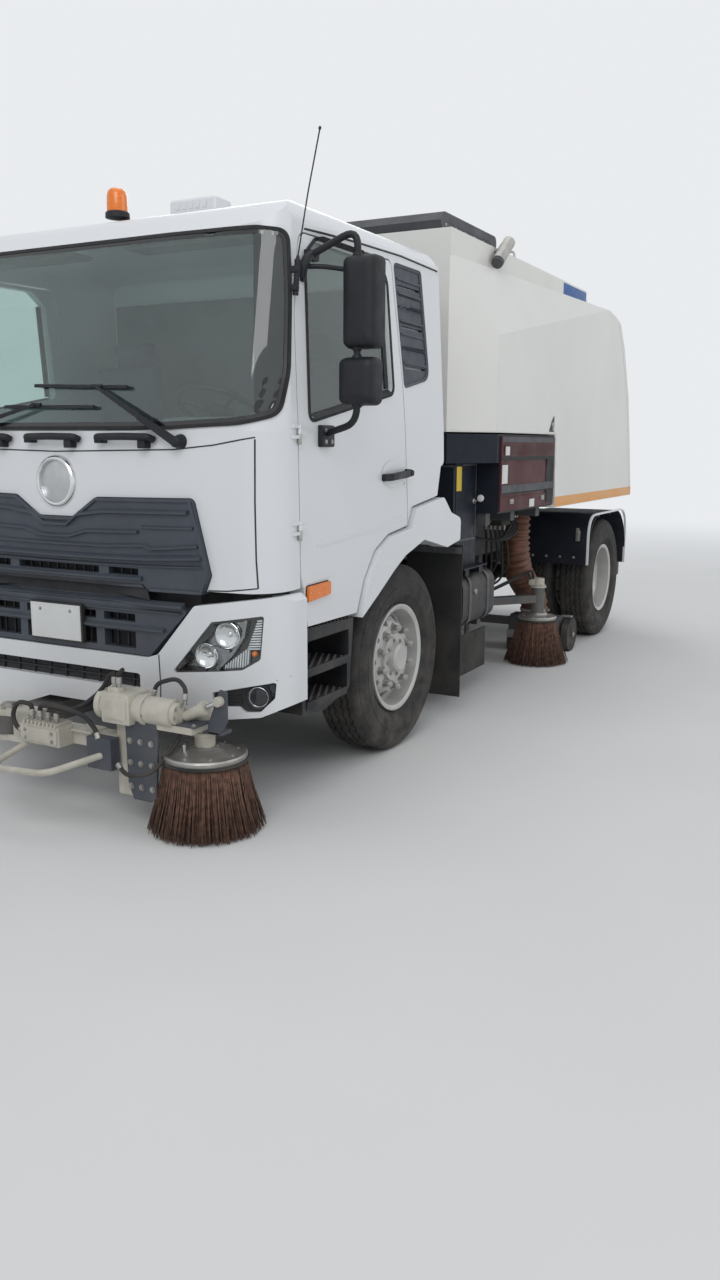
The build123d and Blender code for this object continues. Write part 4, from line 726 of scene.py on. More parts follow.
def brush_tufts(centre, z, radius, foot, rows, count):
    """Bristles in rings: every one a narrow three-sided blade from the disc down to the ground."""
    tufts = []
    for row in range(rows):
        share = row / (rows - 1)
        root = radius * (0.70 + 0.28 * share)
        end = foot * (0.80 + 0.195 * share)
        for k in range(count):
            angle = 2 * math.pi * (k + random.uniform(-0.4, 0.4)) / count
            lean = random.uniform(-0.07, 0.07)
            reach = end - random.uniform(0.0, 0.022)
            drop = 0.004 + random.uniform(0.0, 0.018)
            width = random.uniform(0.0026, 0.0042)
            vertices = []
            for t in (0.0, 0.5, 1.0):
                out_by, turn = root + (reach - root) * t ** 1.25, angle + lean * t
                outward = Vector((math.cos(turn), math.sin(turn), 0))
                across = Vector((-math.sin(turn), math.cos(turn), 0))
                at = Vector((*centre, (z - 0.026) * (1 - t) + drop * t)) + outward * out_by
                wide = width * (1 - 0.45 * t)
                vertices += [at + across * wide, at - across * wide, at - outward * wide]
            tufts.append((vertices, capped(3, 3)))
    return gather(tufts)


for name, body, centre, z, radius, foot, hub_z, rows, count in (
    ("front_brush", "front_brush_rotor", (FRONT_BRUSH_X, FRONT_BRUSH_Y), 0.350, 0.187, 0.270, 0.3797, 6, 230),
    ("side_brush_left", "side_brush_rotor_left", (SIDE_BRUSH_X, SIDE_BRUSH_Y), 0.370, 0.150, 0.260, 0.3997, 5, 170),
    ("side_brush_right", "side_brush_rotor_right", (-SIDE_BRUSH_X, SIDE_BRUSH_Y), 0.370, 0.150, 0.260, 0.3997, 5, 170),
):
    disc = [(-0.030, 0), (-0.030, radius * 0.93), (-0.022, radius), (-0.004, radius + 0.002), (0.004, radius - 0.004),
            (0.000, radius - 0.016), (0.012, radius * 0.62), (0.016, radius * 0.55), (hub_z - z - 0.006, 0.075),
            (hub_z - z, 0.068), (hub_z - z, 0)]
    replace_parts(piece(f"{name}_disc", lathe(disc, (*centre, z), (0, 0, 1), 56), body, "bare_steel"), name)
    piece(f"{name}_tufts", brush_tufts(centre, z, radius, foot, rows, count), body, "bristle", 180)
    # the dark mass inside the tufts, so that no light passes through the skirt; its colour, darker than the bristles',
    # is painted shade deep inside the tufts
    core = [(z - 0.03, 0), (z - 0.03, radius * 0.9), (z * 0.5, radius * 0.62 + foot * 0.26), (0.030, foot * 0.86),
            (0.030, foot * 0.62), (z * 0.5, radius * 0.5), (z * 0.5, 0)]
    piece(f"{name}_core", lathe(core, (*centre, 0), (0, 0, 1), 40), body, "bristle_painted_shade")
    ring = [(-0.034, radius * 0.80), (-0.034, radius * 1.03), (-0.020, radius * 1.035), (-0.020, radius * 0.80)]
    piece(f"{name}_clamp_ring", lathe(ring, (*centre, z), (0, 0, 1), 56), body, "rubber")
    places = [(centre[0] + dx, centre[1] + dy, z + 0.003) for dx, dy in around(8, radius * 0.78)]
    places += [(centre[0] + dx, centre[1] + dy, hub_z - 0.002) for dx, dy in around(4, 0.055, 20)]
    piece(f"{name}_bolts", bolts(places, (0, 0, 1), 0.007, 0.007), body, "bare_steel")

# Windscreen. Laminated glass bonded over the pillars' flanges, with a printed black border, a rubber lip and
# two wipers whose spring-loaded arms turn on pivots below the glass.
WRAP_X, WRAP_Y, WRAP_RADIUS = 0.95, -1.10, 0.25


def on_wrap(s, z, lift=0.0):
    """A point of the cab's front: s is the distance from the middle, followed round the corner."""
    side = 1 if s >= 0 else -1
    angle = max(0.0, abs(s) - WRAP_X) / WRAP_RADIUS
    middle = Vector((min(abs(s), WRAP_X) * side, WRAP_Y, z))
    outward = Vector((math.sin(angle) * side, -math.cos(angle), 0))
    best = None
    # heights beside the point stand in where a ray slips through the gap between the glass and the shell
    for step in (0.0, 0.012, -0.012, 0.024, -0.024, 0.036, -0.036):
        start = middle + Vector((0, 0, step))
        hits = ((cast([name], start + outward * 2.0, -outward), extra)
                for name, extra in (("windscreen", 0.008), ("cab_shell", 0.0)))
        reaches = [(hit - start).dot(outward) + extra for hit, extra in hits if hit is not None]
        if reaches and (best is None or max(reaches) > best + 0.02):
            best = max(reaches)
        if best is not None and best > 0.16:
            break
    return tuple(middle + outward * (best + lift))


screen_half = [(0.0, 1.752), (0.66, 1.757), (1.035, 1.774, 0.5), (1.185, 1.815, 0.10), (1.235, 2.000, 0.4),
               (1.256, 2.300, 0.6), (1.262, 2.585, 0.060), (1.10, 2.600, 0.5), (0.60, 2.607), (0.0, 2.607)]
half_line = smooth_outline(screen_half)[1:-1]
screen_edge = refined(half_line + [(-u, v) for u, v in reversed(half_line)], 0.045)
piece("screen_seal", border(screen_edge, pulled(screen_edge, 0.016), on_wrap, 0.0075, 0.012), "chassis", "rubber")
piece("screen_border", border(pulled(screen_edge, 0.012), pulled(screen_edge, 0.034), on_wrap, 0.0045, 0.004),
      "chassis", "screen_print", 60)


def pane(grid, columns, outer, inner):
    """A thin pane on the wrap, from rows of points that each have one more point than there are columns."""
    across, size = columns + 1, len(grid)
    rows = size // across - 1
    faces = []
    for row in range(rows):
        for column in range(columns):
            for a in (row * across + column, size + row * across + column):
                faces.append((a, a + 1, a + across + 1, a + across))
    rim = list(range(columns)) + [row * across + columns for row in range(rows)]
    rim += [size - 1 - column for column in range(columns)] + [row * across for row in range(rows, 0, -1)]
    faces += [(a, b, size + b, size + a) for a, b in zip(rim, rim[1:] + rim[:1])]
    return [on_wrap(s, z, lift) for lift in (outer, inner) for s, z in grid], faces


def screen_reach(z):
    """How far out the windscreen's edge runs at a height, round the corner."""
    reach = 1.10
    for low, high in zip(half_line, half_line[1:]):
        if min(low[1], high[1]) <= z <= max(low[1], high[1]) and max(low[0], high[0]) > 1.0:
            share = (z - low[1]) / ((high[1] - low[1]) or 1.0)
            reach = low[0] + (high[0] - low[0]) * share
    return reach


GLASS_COLUMNS, GLASS_ROWS, GLASS_LOW, GLASS_HIGH = 44, 16, 1.785, 2.580
glass_grid = []
for row in range(GLASS_ROWS + 1):
    z = GLASS_LOW + (GLASS_HIGH - GLASS_LOW) * row / GLASS_ROWS
    reach = screen_reach(z) - 0.014
    glass_grid += [((2 * column / GLASS_COLUMNS - 1) * reach, z) for column in range(GLASS_COLUMNS + 1)]
made = piece("screen_glass", pane(glass_grid, GLASS_COLUMNS, 0.0035, 0.0005), "chassis", "screen_glass", 60)
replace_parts(made, "windscreen")
PILLAR_S, SHADE_COLUMNS, SHADE_ROWS = 1.085, 7, 12
pillars = []
for side in (-1, 1):
    shade_grid = []
    for row in range(SHADE_ROWS + 1):
        z = 1.825 + 0.755 * row / SHADE_ROWS
        reach = screen_reach(z) - 0.020
        shade_grid += [((PILLAR_S + (reach - PILLAR_S) * k / SHADE_COLUMNS) * side, z)
                       for k in range(SHADE_COLUMNS + 1)]
    pillars.append(pane(shade_grid, SHADE_COLUMNS, 0.0008, -0.0030))
piece("pillar_shade", pillars, "chassis", "seam_dark", 60)

BLADE_STEPS = 16
wiper_metal, wiper_rubber = [], []
for pivot, arm_end, blade_start, blade_end in (
    ((0.742, 1.704), (0.268, 1.950), (0.441, 1.944), (-0.127, 1.962)),
    ((-0.740, 1.704), (-0.105, 1.872), (0.252, 1.859), (-0.317, 1.866)),
):
    face_at = Vector(on_front("cab_shell")(*pivot))
    cap = [(-0.004, 0), (-0.004, 0.034), (0.012, 0.032), (0.030, 0.026), (0.045, 0.024), (0.052, 0.014), (0.052, 0)]
    wiper_metal.append(lathe(cap, face_at, (0, -1, 0), 24))
    foot = face_at + Vector((0, -0.040, 0))
    end = Vector(on_wrap(*arm_end, 0.040))
    middle = foot.lerp(end, 0.42) + Vector((0, -0.016, 0.006))
    for first, last, wide, thin, taper in ((foot, middle, 0.019, 0.011, 0.72), (middle, end, 0.011, 0.007, 0.6)):
        run = (last - first).normalized()
        sideways = run.cross(Vector((0, -1, 0))).normalized()
        out_way = sideways.cross(run)
        corners = []
        for spot, scale in ((first, 1.0), (last, taper)):
            for a, b in ((-1, -0.5), (-0.5, -1), (0.5, -1), (1, -0.5), (1, 1), (-1, 1)):
                corners.append(tuple(spot + sideways * wide * scale * a + out_way * thin * scale * b))
        wiper_metal.append((corners, capped(2, 6)))
    spring = [foot.lerp(middle, share) + Vector((0, 0.006, 0)) for share in (0.2, 0.9)]
    wiper_metal.append(tube(spring, 0.006, 8, 0.01, (0.004, lambda d: 1.0 + 0.25 * math.sin(d * 900))))
    run = Vector(blade_end) - Vector(blade_start)
    blade_line = [Vector(blade_start) + run * step / BLADE_STEPS for step in range(BLADE_STEPS + 1)]
    for half_high, low, high, collected in ((0.0035, 0.005, 0.019, wiper_rubber), (0.0085, 0.019, 0.029, wiper_metal)):
        vertices = []
        for u, v in blade_line:
            for dz, lift in ((-half_high, low), (half_high, low), (half_high * 0.7, high), (-half_high * 0.7, high)):
                vertices.append(on_wrap(u, v + dz, lift))
        collected.append((vertices, capped(BLADE_STEPS + 1, 4)))
    along = (Vector(on_wrap(*blade_end, 0.03)) - Vector(on_wrap(*blade_start, 0.03))).normalized() * 0.03
    joint_at = end + Vector((0, 0.010, 0))
    wiper_metal.append(bar(joint_at - along, joint_at + along, 0.010, 12))
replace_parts(piece("wiper_arms", wiper_metal, "chassis", "trim_black"), "cab_fittings")
piece("wiper_blades", wiper_rubber, "chassis", "rubber")

# Front panel. Pressed steel with a seam below the windscreen, moulded grab handles on two feet and a plain
# round bright emblem; the corner panels meet it at an upright seam.
seam_lines = [[(-1.108, 1.724), (-0.91, 1.690), (-0.70, 1.670), (0.0, 1.657), (0.70, 1.670), (0.91, 1.690),
               (1.108, 1.724)]]
for side in (-1, 1):
    seam_lines.append([(1.107 * side, 1.716), (1.104 * side, 1.45), (1.106 * side, 1.20), (1.112 * side, 1.075)])
    seam_lines.append([(0.872 * side, 1.054), (0.97 * side, 1.058), (1.110 * side, 1.076)])
front_seams = [strip(line, 0.006, on_front("cab_shell"), 0.0012, 0.003) for line in seam_lines]
piece("front_seams", front_seams, "chassis", "seam_dark")

handles = []
for at_x in (-0.44, 0.0, 0.44):
    face_y = on_front("cab_shell")(at_x, 1.706)[1]
    for level_z, wide, reach in ((1.724, 0.0165, 0.040), (1.722, 0.0120, 0.046)):
        foot_y, grip_y = face_y - 0.012, face_y - reach
        line = [(at_x - 0.158, foot_y, level_z - 0.012), (at_x - 0.150, grip_y, level_z),
                (at_x, grip_y - 0.006, level_z + 0.003), (at_x + 0.150, grip_y, level_z),
                (at_x + 0.158, foot_y, level_z - 0.012)]
        handles.append(tube(line, wide, 12, 0.04))
    for x, z in ((at_x + 0.112, 1.690), (at_x - 0.140, 1.712)):
        handles.append(box((x - 0.022, x + 0.022), (face_y - 0.044, face_y + 0.004), (z - 0.016, z + 0.020), 0.006))
piece("grab_handles", handles, "chassis", "trim_black")

EMBLEM_X, EMBLEM_Z = 0.012, 1.518
emblem_at = on_front("cab_shell")(EMBLEM_X, EMBLEM_Z)
ring = [(-0.006, 0.122), (0.008, 0.121), (0.017, 0.116), (0.021, 0.108), (0.019, 0.101), (0.010, 0.097), (0.002, 0.096),
        (-0.006, 0.096), (-0.006, 0.122)]
piece("emblem_ring", lathe(ring, emblem_at, (0, -1, 0), 72), "chassis", "chrome")
disc = [(-0.004, 0), (-0.004, 0.0975), (0.003, 0.0975), (0.006, 0.090), (0.006, 0.0)]
piece("emblem_disc", lathe(disc, emblem_at, (0, -1, 0), 72), "chassis", "satin_silver")

# Grille. A moulded grey panel with long ribs over the air slots, a dark gap, and a lower grille whose slots
# have thin bars; a blank plate on a black holder is screwed to its middle.
on_grille = on_front("grille")
ribs = []
# each rib: its height, its depth, whether it runs right across, and its line from the middle outwards
for high, deep, across, *line in (
    (0.030, 0.018, True, (0.0, 1.318), (0.075, 1.318), (0.145, 1.366), (0.300, 1.386), (0.600, 1.391), (0.790, 1.395)),
    (0.026, 0.015, True, (0.0, 1.262), (0.090, 1.264), (0.200, 1.292), (0.505, 1.300)),
    (0.022, 0.010, False, (0.525, 1.322), (0.660, 1.324), (0.815, 1.328)),
    (0.022, 0.010, False, (-0.815, 1.328), (-0.660, 1.324), (-0.525, 1.322)),
    (0.024, 0.015, True, (0.0, 1.226), (0.300, 1.228), (0.540, 1.240), (0.580, 1.226), (0.700, 1.236), (0.842, 1.250)),
    (0.032, 0.024, True, (0.0, 1.172), (0.30, 1.174), (0.560, 1.180), (0.700, 1.188), (0.862, 1.198)),
    (0.016, 0.012, True, (0.0, 1.142), (0.30, 1.143), (0.495, 1.146), (0.700, 1.152), (0.872, 1.160)),
    (0.026, 0.016, True, (0.0, 1.082), (0.30, 1.083), (0.520, 1.086)),
    (0.030, 0.026, True, (0.0, 0.968), (0.30, 0.970), (0.600, 0.972), (0.755, 0.974)),
    (0.016, 0.014, True, (0.0, 0.936), (0.30, 0.937), (0.560, 0.940), (0.735, 0.942)),
    (0.028, 0.020, True, (0.0, 0.850), (0.235, 0.850), (0.475, 0.852), (0.640, 0.854)),
):
    if across:
        line = [(-x, z) for x, z in reversed(line[1:])] + line
    vertices = []
    for x, z in line:
        for dz, lift in ((high * 0.62, -0.004), (high * 0.12, deep), (-high * 0.16, deep), (-high * 0.34, -0.004)):
            vertices.append((x, on_grille(x, z)[1] - lift, z + dz))
    ribs.append((vertices, capped(len(line), 4)))
piece("grille_ribs", ribs, "chassis", "grille_grey")

gap_line = [(-0.520, 1.062), (0.520, 1.062), (0.545, 1.040), (0.560, 0.990), (-0.560, 0.990), (-0.545, 1.040)]
piece("grille_gap", draped(refined(gap_line, 0.06), on_grille, 0.0025, 0.004, 2), "chassis", "seam_dark")
edge_line = [(0.560, 1.040), (0.852, 1.044), (0.884, 1.123), (0.847, 1.285), (0.800, 1.449), (0.257, 1.441),
             (0.112, 1.348), (0.0, 1.346)]
edges = [strip([(x * side, z) for x, z in edge_line], 0.013, on_grille, 0.009, 0.012) for side in (-1, 1)]
piece("grille_edge", edges, "chassis", "grille_grey")

mesh_bars = []
for x0, x1, z0, z1 in (
    (-0.258, 0.258, 1.098, 1.132), (0.318, 0.495, 1.098, 1.132), (-0.495, -0.318, 1.098, 1.132),
    (-0.225, 0.225, 0.880, 0.918), (0.275, 0.465, 0.880, 0.918), (-0.465, -0.275, 0.880, 0.918),
    (-0.225, 0.225, 0.755, 0.835), (0.275, 0.465, 0.755, 0.835), (-0.465, -0.275, 0.755, 0.835),
):
    spots = max(3, int((x1 - x0) / 0.055))
    for k in range(1, spots):
        at_x = x0 + (x1 - x0) * k / spots
        mesh_bars.append(box((at_x - 0.003, at_x + 0.003), (-1.396, -1.384), (z0 - 0.004, z1 + 0.004), 0.001))
piece("grille_mesh", mesh_bars, "chassis", "trim_black")
piece("grille_backing", [
    box((-0.80, 0.80), (-1.352, -1.346), (0.700, 1.10), 0.002),
    box((-0.56, 0.56), (-1.362, -1.356), (1.08, 1.15), 0.002),
], "chassis", "seam_dark")

plate_y = on_grille(0.25, 0.86, 0.026)[1]
plate_face = plate_y - 0.0095
piece("plate_holder", box((-0.172, 0.165), (plate_y - 0.006, plate_y + 0.020), (0.755, 0.944), 0.006), "chassis",
      "trim_black")
piece("blank_plate", [
    box((-0.163, 0.156), (plate_face, plate_y - 0.0055), (0.764, 0.935), 0.0015),
    border([(-0.158, 0.769), (0.151, 0.769), (0.151, 0.930), (-0.158, 0.930)],
           [(-0.154, 0.773), (0.147, 0.773), (0.147, 0.926), (-0.154, 0.926)],
           lambda u, v, lift: (u, plate_face - lift, v), 0.0012, 0.002),
], "chassis", "label_white")
screws = [(-0.10, plate_face, 0.905), (0.093, plate_face, 0.905)]
piece("plate_screws", bolts(screws, (0, -1, 0), 0.006, 0.004), "chassis", "bare_steel")

# Roof and pillar fittings. An amber warning lamp on a black foot, a pressed air vent, and a whip aerial whose
# sprung base is clamped to the pillar by two moulded blocks.
foot = [(-0.012, 0), (-0.012, 0.060), (0.010, 0.059), (0.016, 0.054), (0.016, 0)]
piece("beacon_foot", lathe(foot, (0, -0.90, 2.800), (0, 0, 1), 40), "chassis", "trim_black")
dome = [(0, 0), (0.0, 0.050), (0.020, 0.0515), (0.080, 0.0495), (0.100, 0.0455), (0.113, 0.035), (0.119, 0.020),
        (0.121, 0.0)]
piece("beacon_dome", lathe(dome, (0, -0.90, 2.808), (0, 0, 1), 40), "chassis", "amber")
vent_side = [(-0.858, 2.770), (-0.702, 2.770), (-0.722, 2.838), (-0.733, 2.846), (-0.850, 2.848), (-0.858, 2.838)]
vents = [prism(vent_side, "x", 0.288, 0.562, 0.010)]
for k in range(5):
    vents.append(box((0.330 + k * 0.040, 0.352 + k * 0.040), (-0.8625, -0.8565), (2.800, 2.832), 0.002))
piece("roof_vent", vents, "chassis", "cab_white")
base_cap = [(0, 0), (0, 0.014), (0.012, 0.014), (0.018, 0.009), (0.030, 0.006), (0.030, 0)]
piece("aerial", [
    tube([(1.200, -1.1745, 2.318), (1.207, -1.1685, 2.452)], 0.0125, 16, 0.01,
         (0.006, lambda d: 1.0 + 0.10 * math.sin(d * 420))),
    lathe(base_cap, (1.207, -1.1685, 2.448), (0.06, 0.06, 1), 16),
    tube([(1.208, -1.168, 2.470), (1.240, -1.136, 2.730), (1.278, -1.100, 2.985)], 0.0032, 8, 0.05),
    lathe([(0, 0), (0, 0.006), (0.010, 0.006), (0.014, 0.0)], (1.277, -1.101, 2.980), (0.14, 0.13, 1), 12),
    box((1.150, 1.2135), (-1.194, -1.164), (2.336, 2.362), 0.006),
    box((1.150, 1.2165), (-1.190, -1.160), (2.410, 2.436), 0.006),
], "chassis", "trim_black")

# Bumper. Moulded in three parts with seams beside the middle, an air slot with bars, dark-bezelled headlamps
# with two bowls and a turn lamp behind one lens, and round fog lamps in ribbed black inserts.
bumper_seams = []
for side in (-1, 1):
    for width, line in (
        (0.006, ((0.606, 0.742), (0.612, 0.60), (0.606, 0.475))), (0.005, ((1.196, 0.672), (1.235, 0.684))),
    ):
        bumper_seams.append(strip([(x * side, z) for x, z in line], width, on_front("bumper"), 0.001, 0.003))
piece("bumper_seams", bumper_seams, "chassis", "seam_dark")
piece("bumper_slot_backing", box((-0.50, 0.50), (-1.392, -1.386), (0.555, 0.650), 0.001), "chassis", "seam_dark")
slot_bars = [box((-0.49, 0.49), (-1.404, -1.392), (0.598, 0.606), 0.002)]
for k in range(-4, 5):
    slot_bars.append(box((k * 0.107 - 0.004, k * 0.107 + 0.004), (-1.402, -1.392), (0.565, 0.640), 0.0015))
piece("bumper_slot_bars", slot_bars, "chassis", "trim_black")

lamp_line = smooth_outline([(0.682, 0.668, 0.010), (0.909, 0.917, 0.025), (1.147, 0.956, 0.010), (1.130, 0.766, 0.025),
                            (1.050, 0.715, 0.025)])
main_zone = [(0.738, 0.700), (0.928, 0.905), (1.052, 0.926), (1.040, 0.862), (0.992, 0.790), (0.905, 0.706)]
fog_line = smooth_outline([(0.908, 0.597, 0.008), (1.193, 0.660, 0.010), (1.187, 0.592, 0.020), (1.128, 0.528, 0.030),
                           (1.058, 0.523, 0.030), (1.030, 0.548, 0.020), (0.908, 0.538, 0.008)])
bezels, bowls, frames, bulbs, lenses, fog_dark, fog_metal, fog_glass = ([] for _ in range(8))
for side in (-1, 1):
    def in_lamp(x, z, lift=0.0, side=side):
        """The point of the headlamp's face at (x, z) on this side, lifted forwards."""
        return on_front("headlamps", fallback=-1.40)(x * side, z, lift)

    bezels.append(border(refined(lamp_line, 0.03), pulled(refined(lamp_line, 0.03), 0.008), in_lamp, -0.003, 0.030))
    bezels.append(strip([(0.916, 0.903), (0.707, 0.681), (0.935, 0.689)], 0.022, in_lamp, -0.004, 0.020))
    bezels.append(draped(refined(pulled(lamp_line, 0.004), 0.05), in_lamp, -0.034, 0.003, 2))
    frames.append(draped(refined(main_zone, 0.03), in_lamp, -0.031, 0.003, 2))
    line = [(1.064, 0.938), (1.050, 0.862), (1.000, 0.782), (0.925, 0.704)]
    frames.append(strip(line, 0.014, in_lamp, -0.003, 0.026))
    frames.append(strip([(0.846, 0.812), (0.985, 0.790)], 0.010, in_lamp, -0.008, 0.020))
    for at_x, at_z, wide in ((0.975, 0.862, 0.062), (0.865, 0.760, 0.058)):
        bowl = [(0.0, wide), (0.002, wide - 0.003), (-0.006, wide - 0.008), (-0.014, wide - 0.020),
                (-0.019, wide - 0.034), (-0.021, 0.012), (-0.014, 0.010), (-0.010, 0.006), (-0.010, 0.0)]
        for profile in (bowl, [(-0.022, 0), (-0.022, wide), (0.0, wide)]):
            bowls.append(lathe(profile, in_lamp(at_x, at_z, -0.008), (0.12 * side, -1, 0), 40))
    for k in range(12):
        rise = 0.006 + k * 0.0115
        z = 0.80 + rise
        line = [(1.064 + rise * 0.36, z), (1.126 + rise * 0.08, z + 0.004)]
        lenses.append(strip(line, 0.007, in_lamp, -0.008, 0.012))
    for k in range(10):
        x = 0.962 + k * 0.0115
        low, high = 0.7125 + max(0.0, x - 1.045) * 0.7, 0.716 + (x - 0.945) * 0.80
        lenses.append(strip([(x, low), (x + 0.006, high)], 0.006, in_lamp, -0.008, 0.012))
    bulb = [(-0.010, 0), (-0.010, 0.012), (0.0, 0.0145), (0.008, 0.0125), (0.013, 0.007), (0.014, 0)]
    bulbs.append(lathe(bulb, in_lamp(1.094, 0.784, -0.018), (0, -1, 0), 20))

    def in_fog(x, z, lift=0.0, side=side):
        """The point of the fog lamp insert's face at (x, z) on this side, lifted forwards."""
        return on_front("headlamps", fallback=-1.39)(x * side, z, lift)

    fog_dark.append(draped(refined(fog_line, 0.03), in_fog, 0.002, 0.004, 3))
    for k in range(4):
        z = 0.5505 + k * 0.0145
        fog_dark.append(strip([(0.914, z), (1.045, z + 0.006)], 0.006, in_fog, 0.008, 0.008))
    for profile, kept in (
        ([(-0.004, 0.062), (0.006, 0.060), (0.011, 0.054), (0.008, 0.047), (0.000, 0.0465)], fog_dark),
        ([(0.000, 0.0475), (0.0095, 0.0470), (0.0110, 0.0440), (0.0090, 0.0415), (0.0, 0.0410)], fog_metal),
        ([(-0.014, 0), (-0.012, 0.018), (-0.004, 0.034), (0.002, 0.041)], fog_metal),
        ([(0.002, 0.0415), (0.008, 0.038), (0.0115, 0.024), (0.0125, 0.0)], fog_glass),
    ):
        kept.append(lathe(profile, in_fog(1.116, 0.592), (0.30 * side, -1, 0), 40))
for name, parts, look in (
    ("headlamp_bezels", bezels, "screen_print"), ("headlamp_bowls", bowls, "chrome"),
    ("headlamp_frames", frames, "reflector"), ("turn_bulbs", bulbs, "amber"), ("turn_lenses", lenses, "clear_lens"),
    ("fog_inserts", fog_dark, "trim_black"), ("fog_bowls", fog_metal, "reflector"), ("fog_lenses", fog_glass, "lamp"),
):
    piece(name, parts, "chassis", look)

# Doors. Pressed steel doors with a rubber window seal, a black pull handle over a dished recess, a lock, an
# amber side marker and a swage line; the gutter and the slatted quarter panels belong to the shell behind.
door_window = refined(smooth_outline([(-1.053, 1.808, 0.030), (-1.050, 2.500, 0.070), (-0.960, 2.573, 0.060),
                                      (-0.390, 2.575, 0.060), (-0.285, 2.500, 0.080), (-0.228, 1.963, 0.040)]), 0.05)
marker = refined(smooth_outline([(-1.103, 0.990, 0.012), (-0.900, 1.004, 0.012), (-0.900, 1.066, 0.012),
                                 (-1.098, 1.060, 0.012)]), 0.03)
DISH_Y, DISH_Z, DISH_POINTS, DISH_RINGS = -0.205, 1.548, 30, 5
skin, pane_skin = on_side("door_left"), on_side("door_glass_left")
shell, louvres_skin = on_side("cab_shell"), on_side("quarter_louvres")
for side, name in LEFT_AND_RIGHT:
    body = "cab_door_" + name
    seal = border(pulled(door_window, -0.020), pulled(door_window, -0.003), skin, 0.0045, 0.007)
    piece("window_seal_" + name, flip(seal, side), body, "rubber")
    trim = [strip([(-1.030, 1.816), (-0.245, 1.962)], 0.020, pane_skin, 0.008, 0.012),
            strip([(-0.262, 1.975), (-0.318, 2.500)], 0.034, pane_skin, 0.006, 0.010)]
    piece("window_trim_" + name, flip(trim, side), body, "trim_black")

    dish = []
    for ring in range(DISH_RINGS):
        share, lift = 1 - ring / DISH_RINGS, 0.0034 - 0.0022 * (ring / 4) if ring else 0.0022
        dish += [skin(DISH_Y + 0.150 * u * share, DISH_Z + 0.072 * v * share, lift)
                 for u, v in around(DISH_POINTS, 1.0)]
    faces = quads(DISH_RINGS, DISH_POINTS) + [tuple(range((DISH_RINGS - 1) * DISH_POINTS, DISH_RINGS * DISH_POINTS))]
    piece("handle_dish_" + name, flip((dish, faces), side), body, "cab_white", 60)
    ends = [Vector(skin(y, z)) for y, z in ((-0.340, 1.530), (-0.300, 1.533), (-0.105, 1.546), (-0.062, 1.549))]
    grip = []
    for first, last, near, far in ((*ends[:2], 0.002, 0.036), (*ends[1:3], 0.036, 0.036), (*ends[2:], 0.036, 0.002)):
        corners = []
        for spot, reach in ((first, near), (last, far)):
            for dz, dx in ((-0.017, -0.012), (-0.019, 0.002), (-0.012, 0.010), (0.012, 0.010), (0.019, 0.002),
                           (0.017, -0.012)):
                corners.append(tuple(spot + Vector((reach + dx, 0, dz))))
        grip.append((corners, capped(2, 6)))
    hub = [(-0.006, 0), (-0.006, 0.022), (0.030, 0.020), (0.046, 0.015), (0.046, 0)]
    grip.append(lathe(hub, ends[3] + Vector((0, -0.012, 0)), (1, 0, 0), 20))
    grip.append(box((ends[0].x - 0.004, ends[0].x + 0.026), (-0.352, -0.318), (1.514, 1.548), 0.008))
    piece("door_handle_" + name, flip(grip, side), body, "trim_black")
    lock_at = skin(-0.092, 1.496)
    lock = lathe([(-0.002, 0), (-0.002, 0.012), (0.005, 0.011), (0.006, 0.0)], lock_at, (1, 0, 0), 20)
    piece("door_lock_" + name, flip(lock, side), body, "chrome")
    slot_cut = box((lock_at[0] + 0.0055, lock_at[0] + 0.0068), (-0.0932, -0.0908), (1.489, 1.503), 0.0003)
    piece("lock_slot_" + name, flip(slot_cut, side), body, "seam_dark")

    piece("side_marker_" + name, flip(draped(marker, skin, 0.017, 0.019, 3), side), body, "amber")
    rim = border(pulled(marker, -0.004), pulled(marker, 0.001), skin, 0.004, 0.006)
    piece("marker_seat_" + name, flip(rim, side), body, "trim_black")
    swage = [strip([(-1.000, 1.240), (-0.700, 1.262), (-0.350, 1.290), (-0.052, 1.316)], 0.016, skin, 0.0035, 0.006),
             strip([(-1.098, 1.074), (-0.960, 1.082), (-0.840, 1.092)], 0.007, skin, 0.0020, 0.004)]
    piece("door_swage_" + name, flip(swage, side), body, "cab_white", 20)

gutter = [(-1.060, 2.618), (-0.877, 2.628), (-0.597, 2.641), (-0.116, 2.654), (0.349, 2.644)]
marks = [strip([(y, z - 0.012) for y, z in gutter], 0.006, shell, 0.0015, 0.003)]
panel = refined(smooth_outline([(-0.190, 2.598, 0.025), (0.125, 2.598, 0.025), (0.219, 2.050, 0.070),
                                (-0.084, 1.990, 0.025)]), 0.04)
louvres = [border(pulled(panel, -0.004), pulled(panel, 0.012), on_side("quarter_louvres", "cab_shell"), 0.004, 0.006)]
for z in (2.530, 2.462, 2.396, 2.328, 2.262, 2.190, 2.118):
    start, end = -0.165 + (2.598 - z) * 0.162, 0.108 + (2.598 - z) * 0.170
    louvres.append(strip([(start, z), (end, z - 0.004)], 0.010, louvres_skin, 0.0065, 0.009))
    if z in (2.462, 2.328):
        marks.append(strip([(start + 0.01, z - 0.010), (end - 0.01, z - 0.014)], 0.008, louvres_skin, 0.0015, 0.003))
piece("roof_gutters", both(strip(gutter, 0.017, shell, 0.012, 0.016)), "chassis", "cab_white")
piece("louvre_slats", both(louvres), "chassis", "grille_grey")
piece("shell_marks", both(marks), "chassis", "seam_dark")
pin = [(0, 0), (0, 0.008), (0.004, 0.010), (0.046, 0.010), (0.050, 0.008), (0.050, 0)]
pins = [lathe(pin, (1.2100, -1.1640, z), (0, 0, 1), 14) for z in (1.275, 1.695)]
piece("hinge_pins", both(pins), "chassis", "bare_steel")

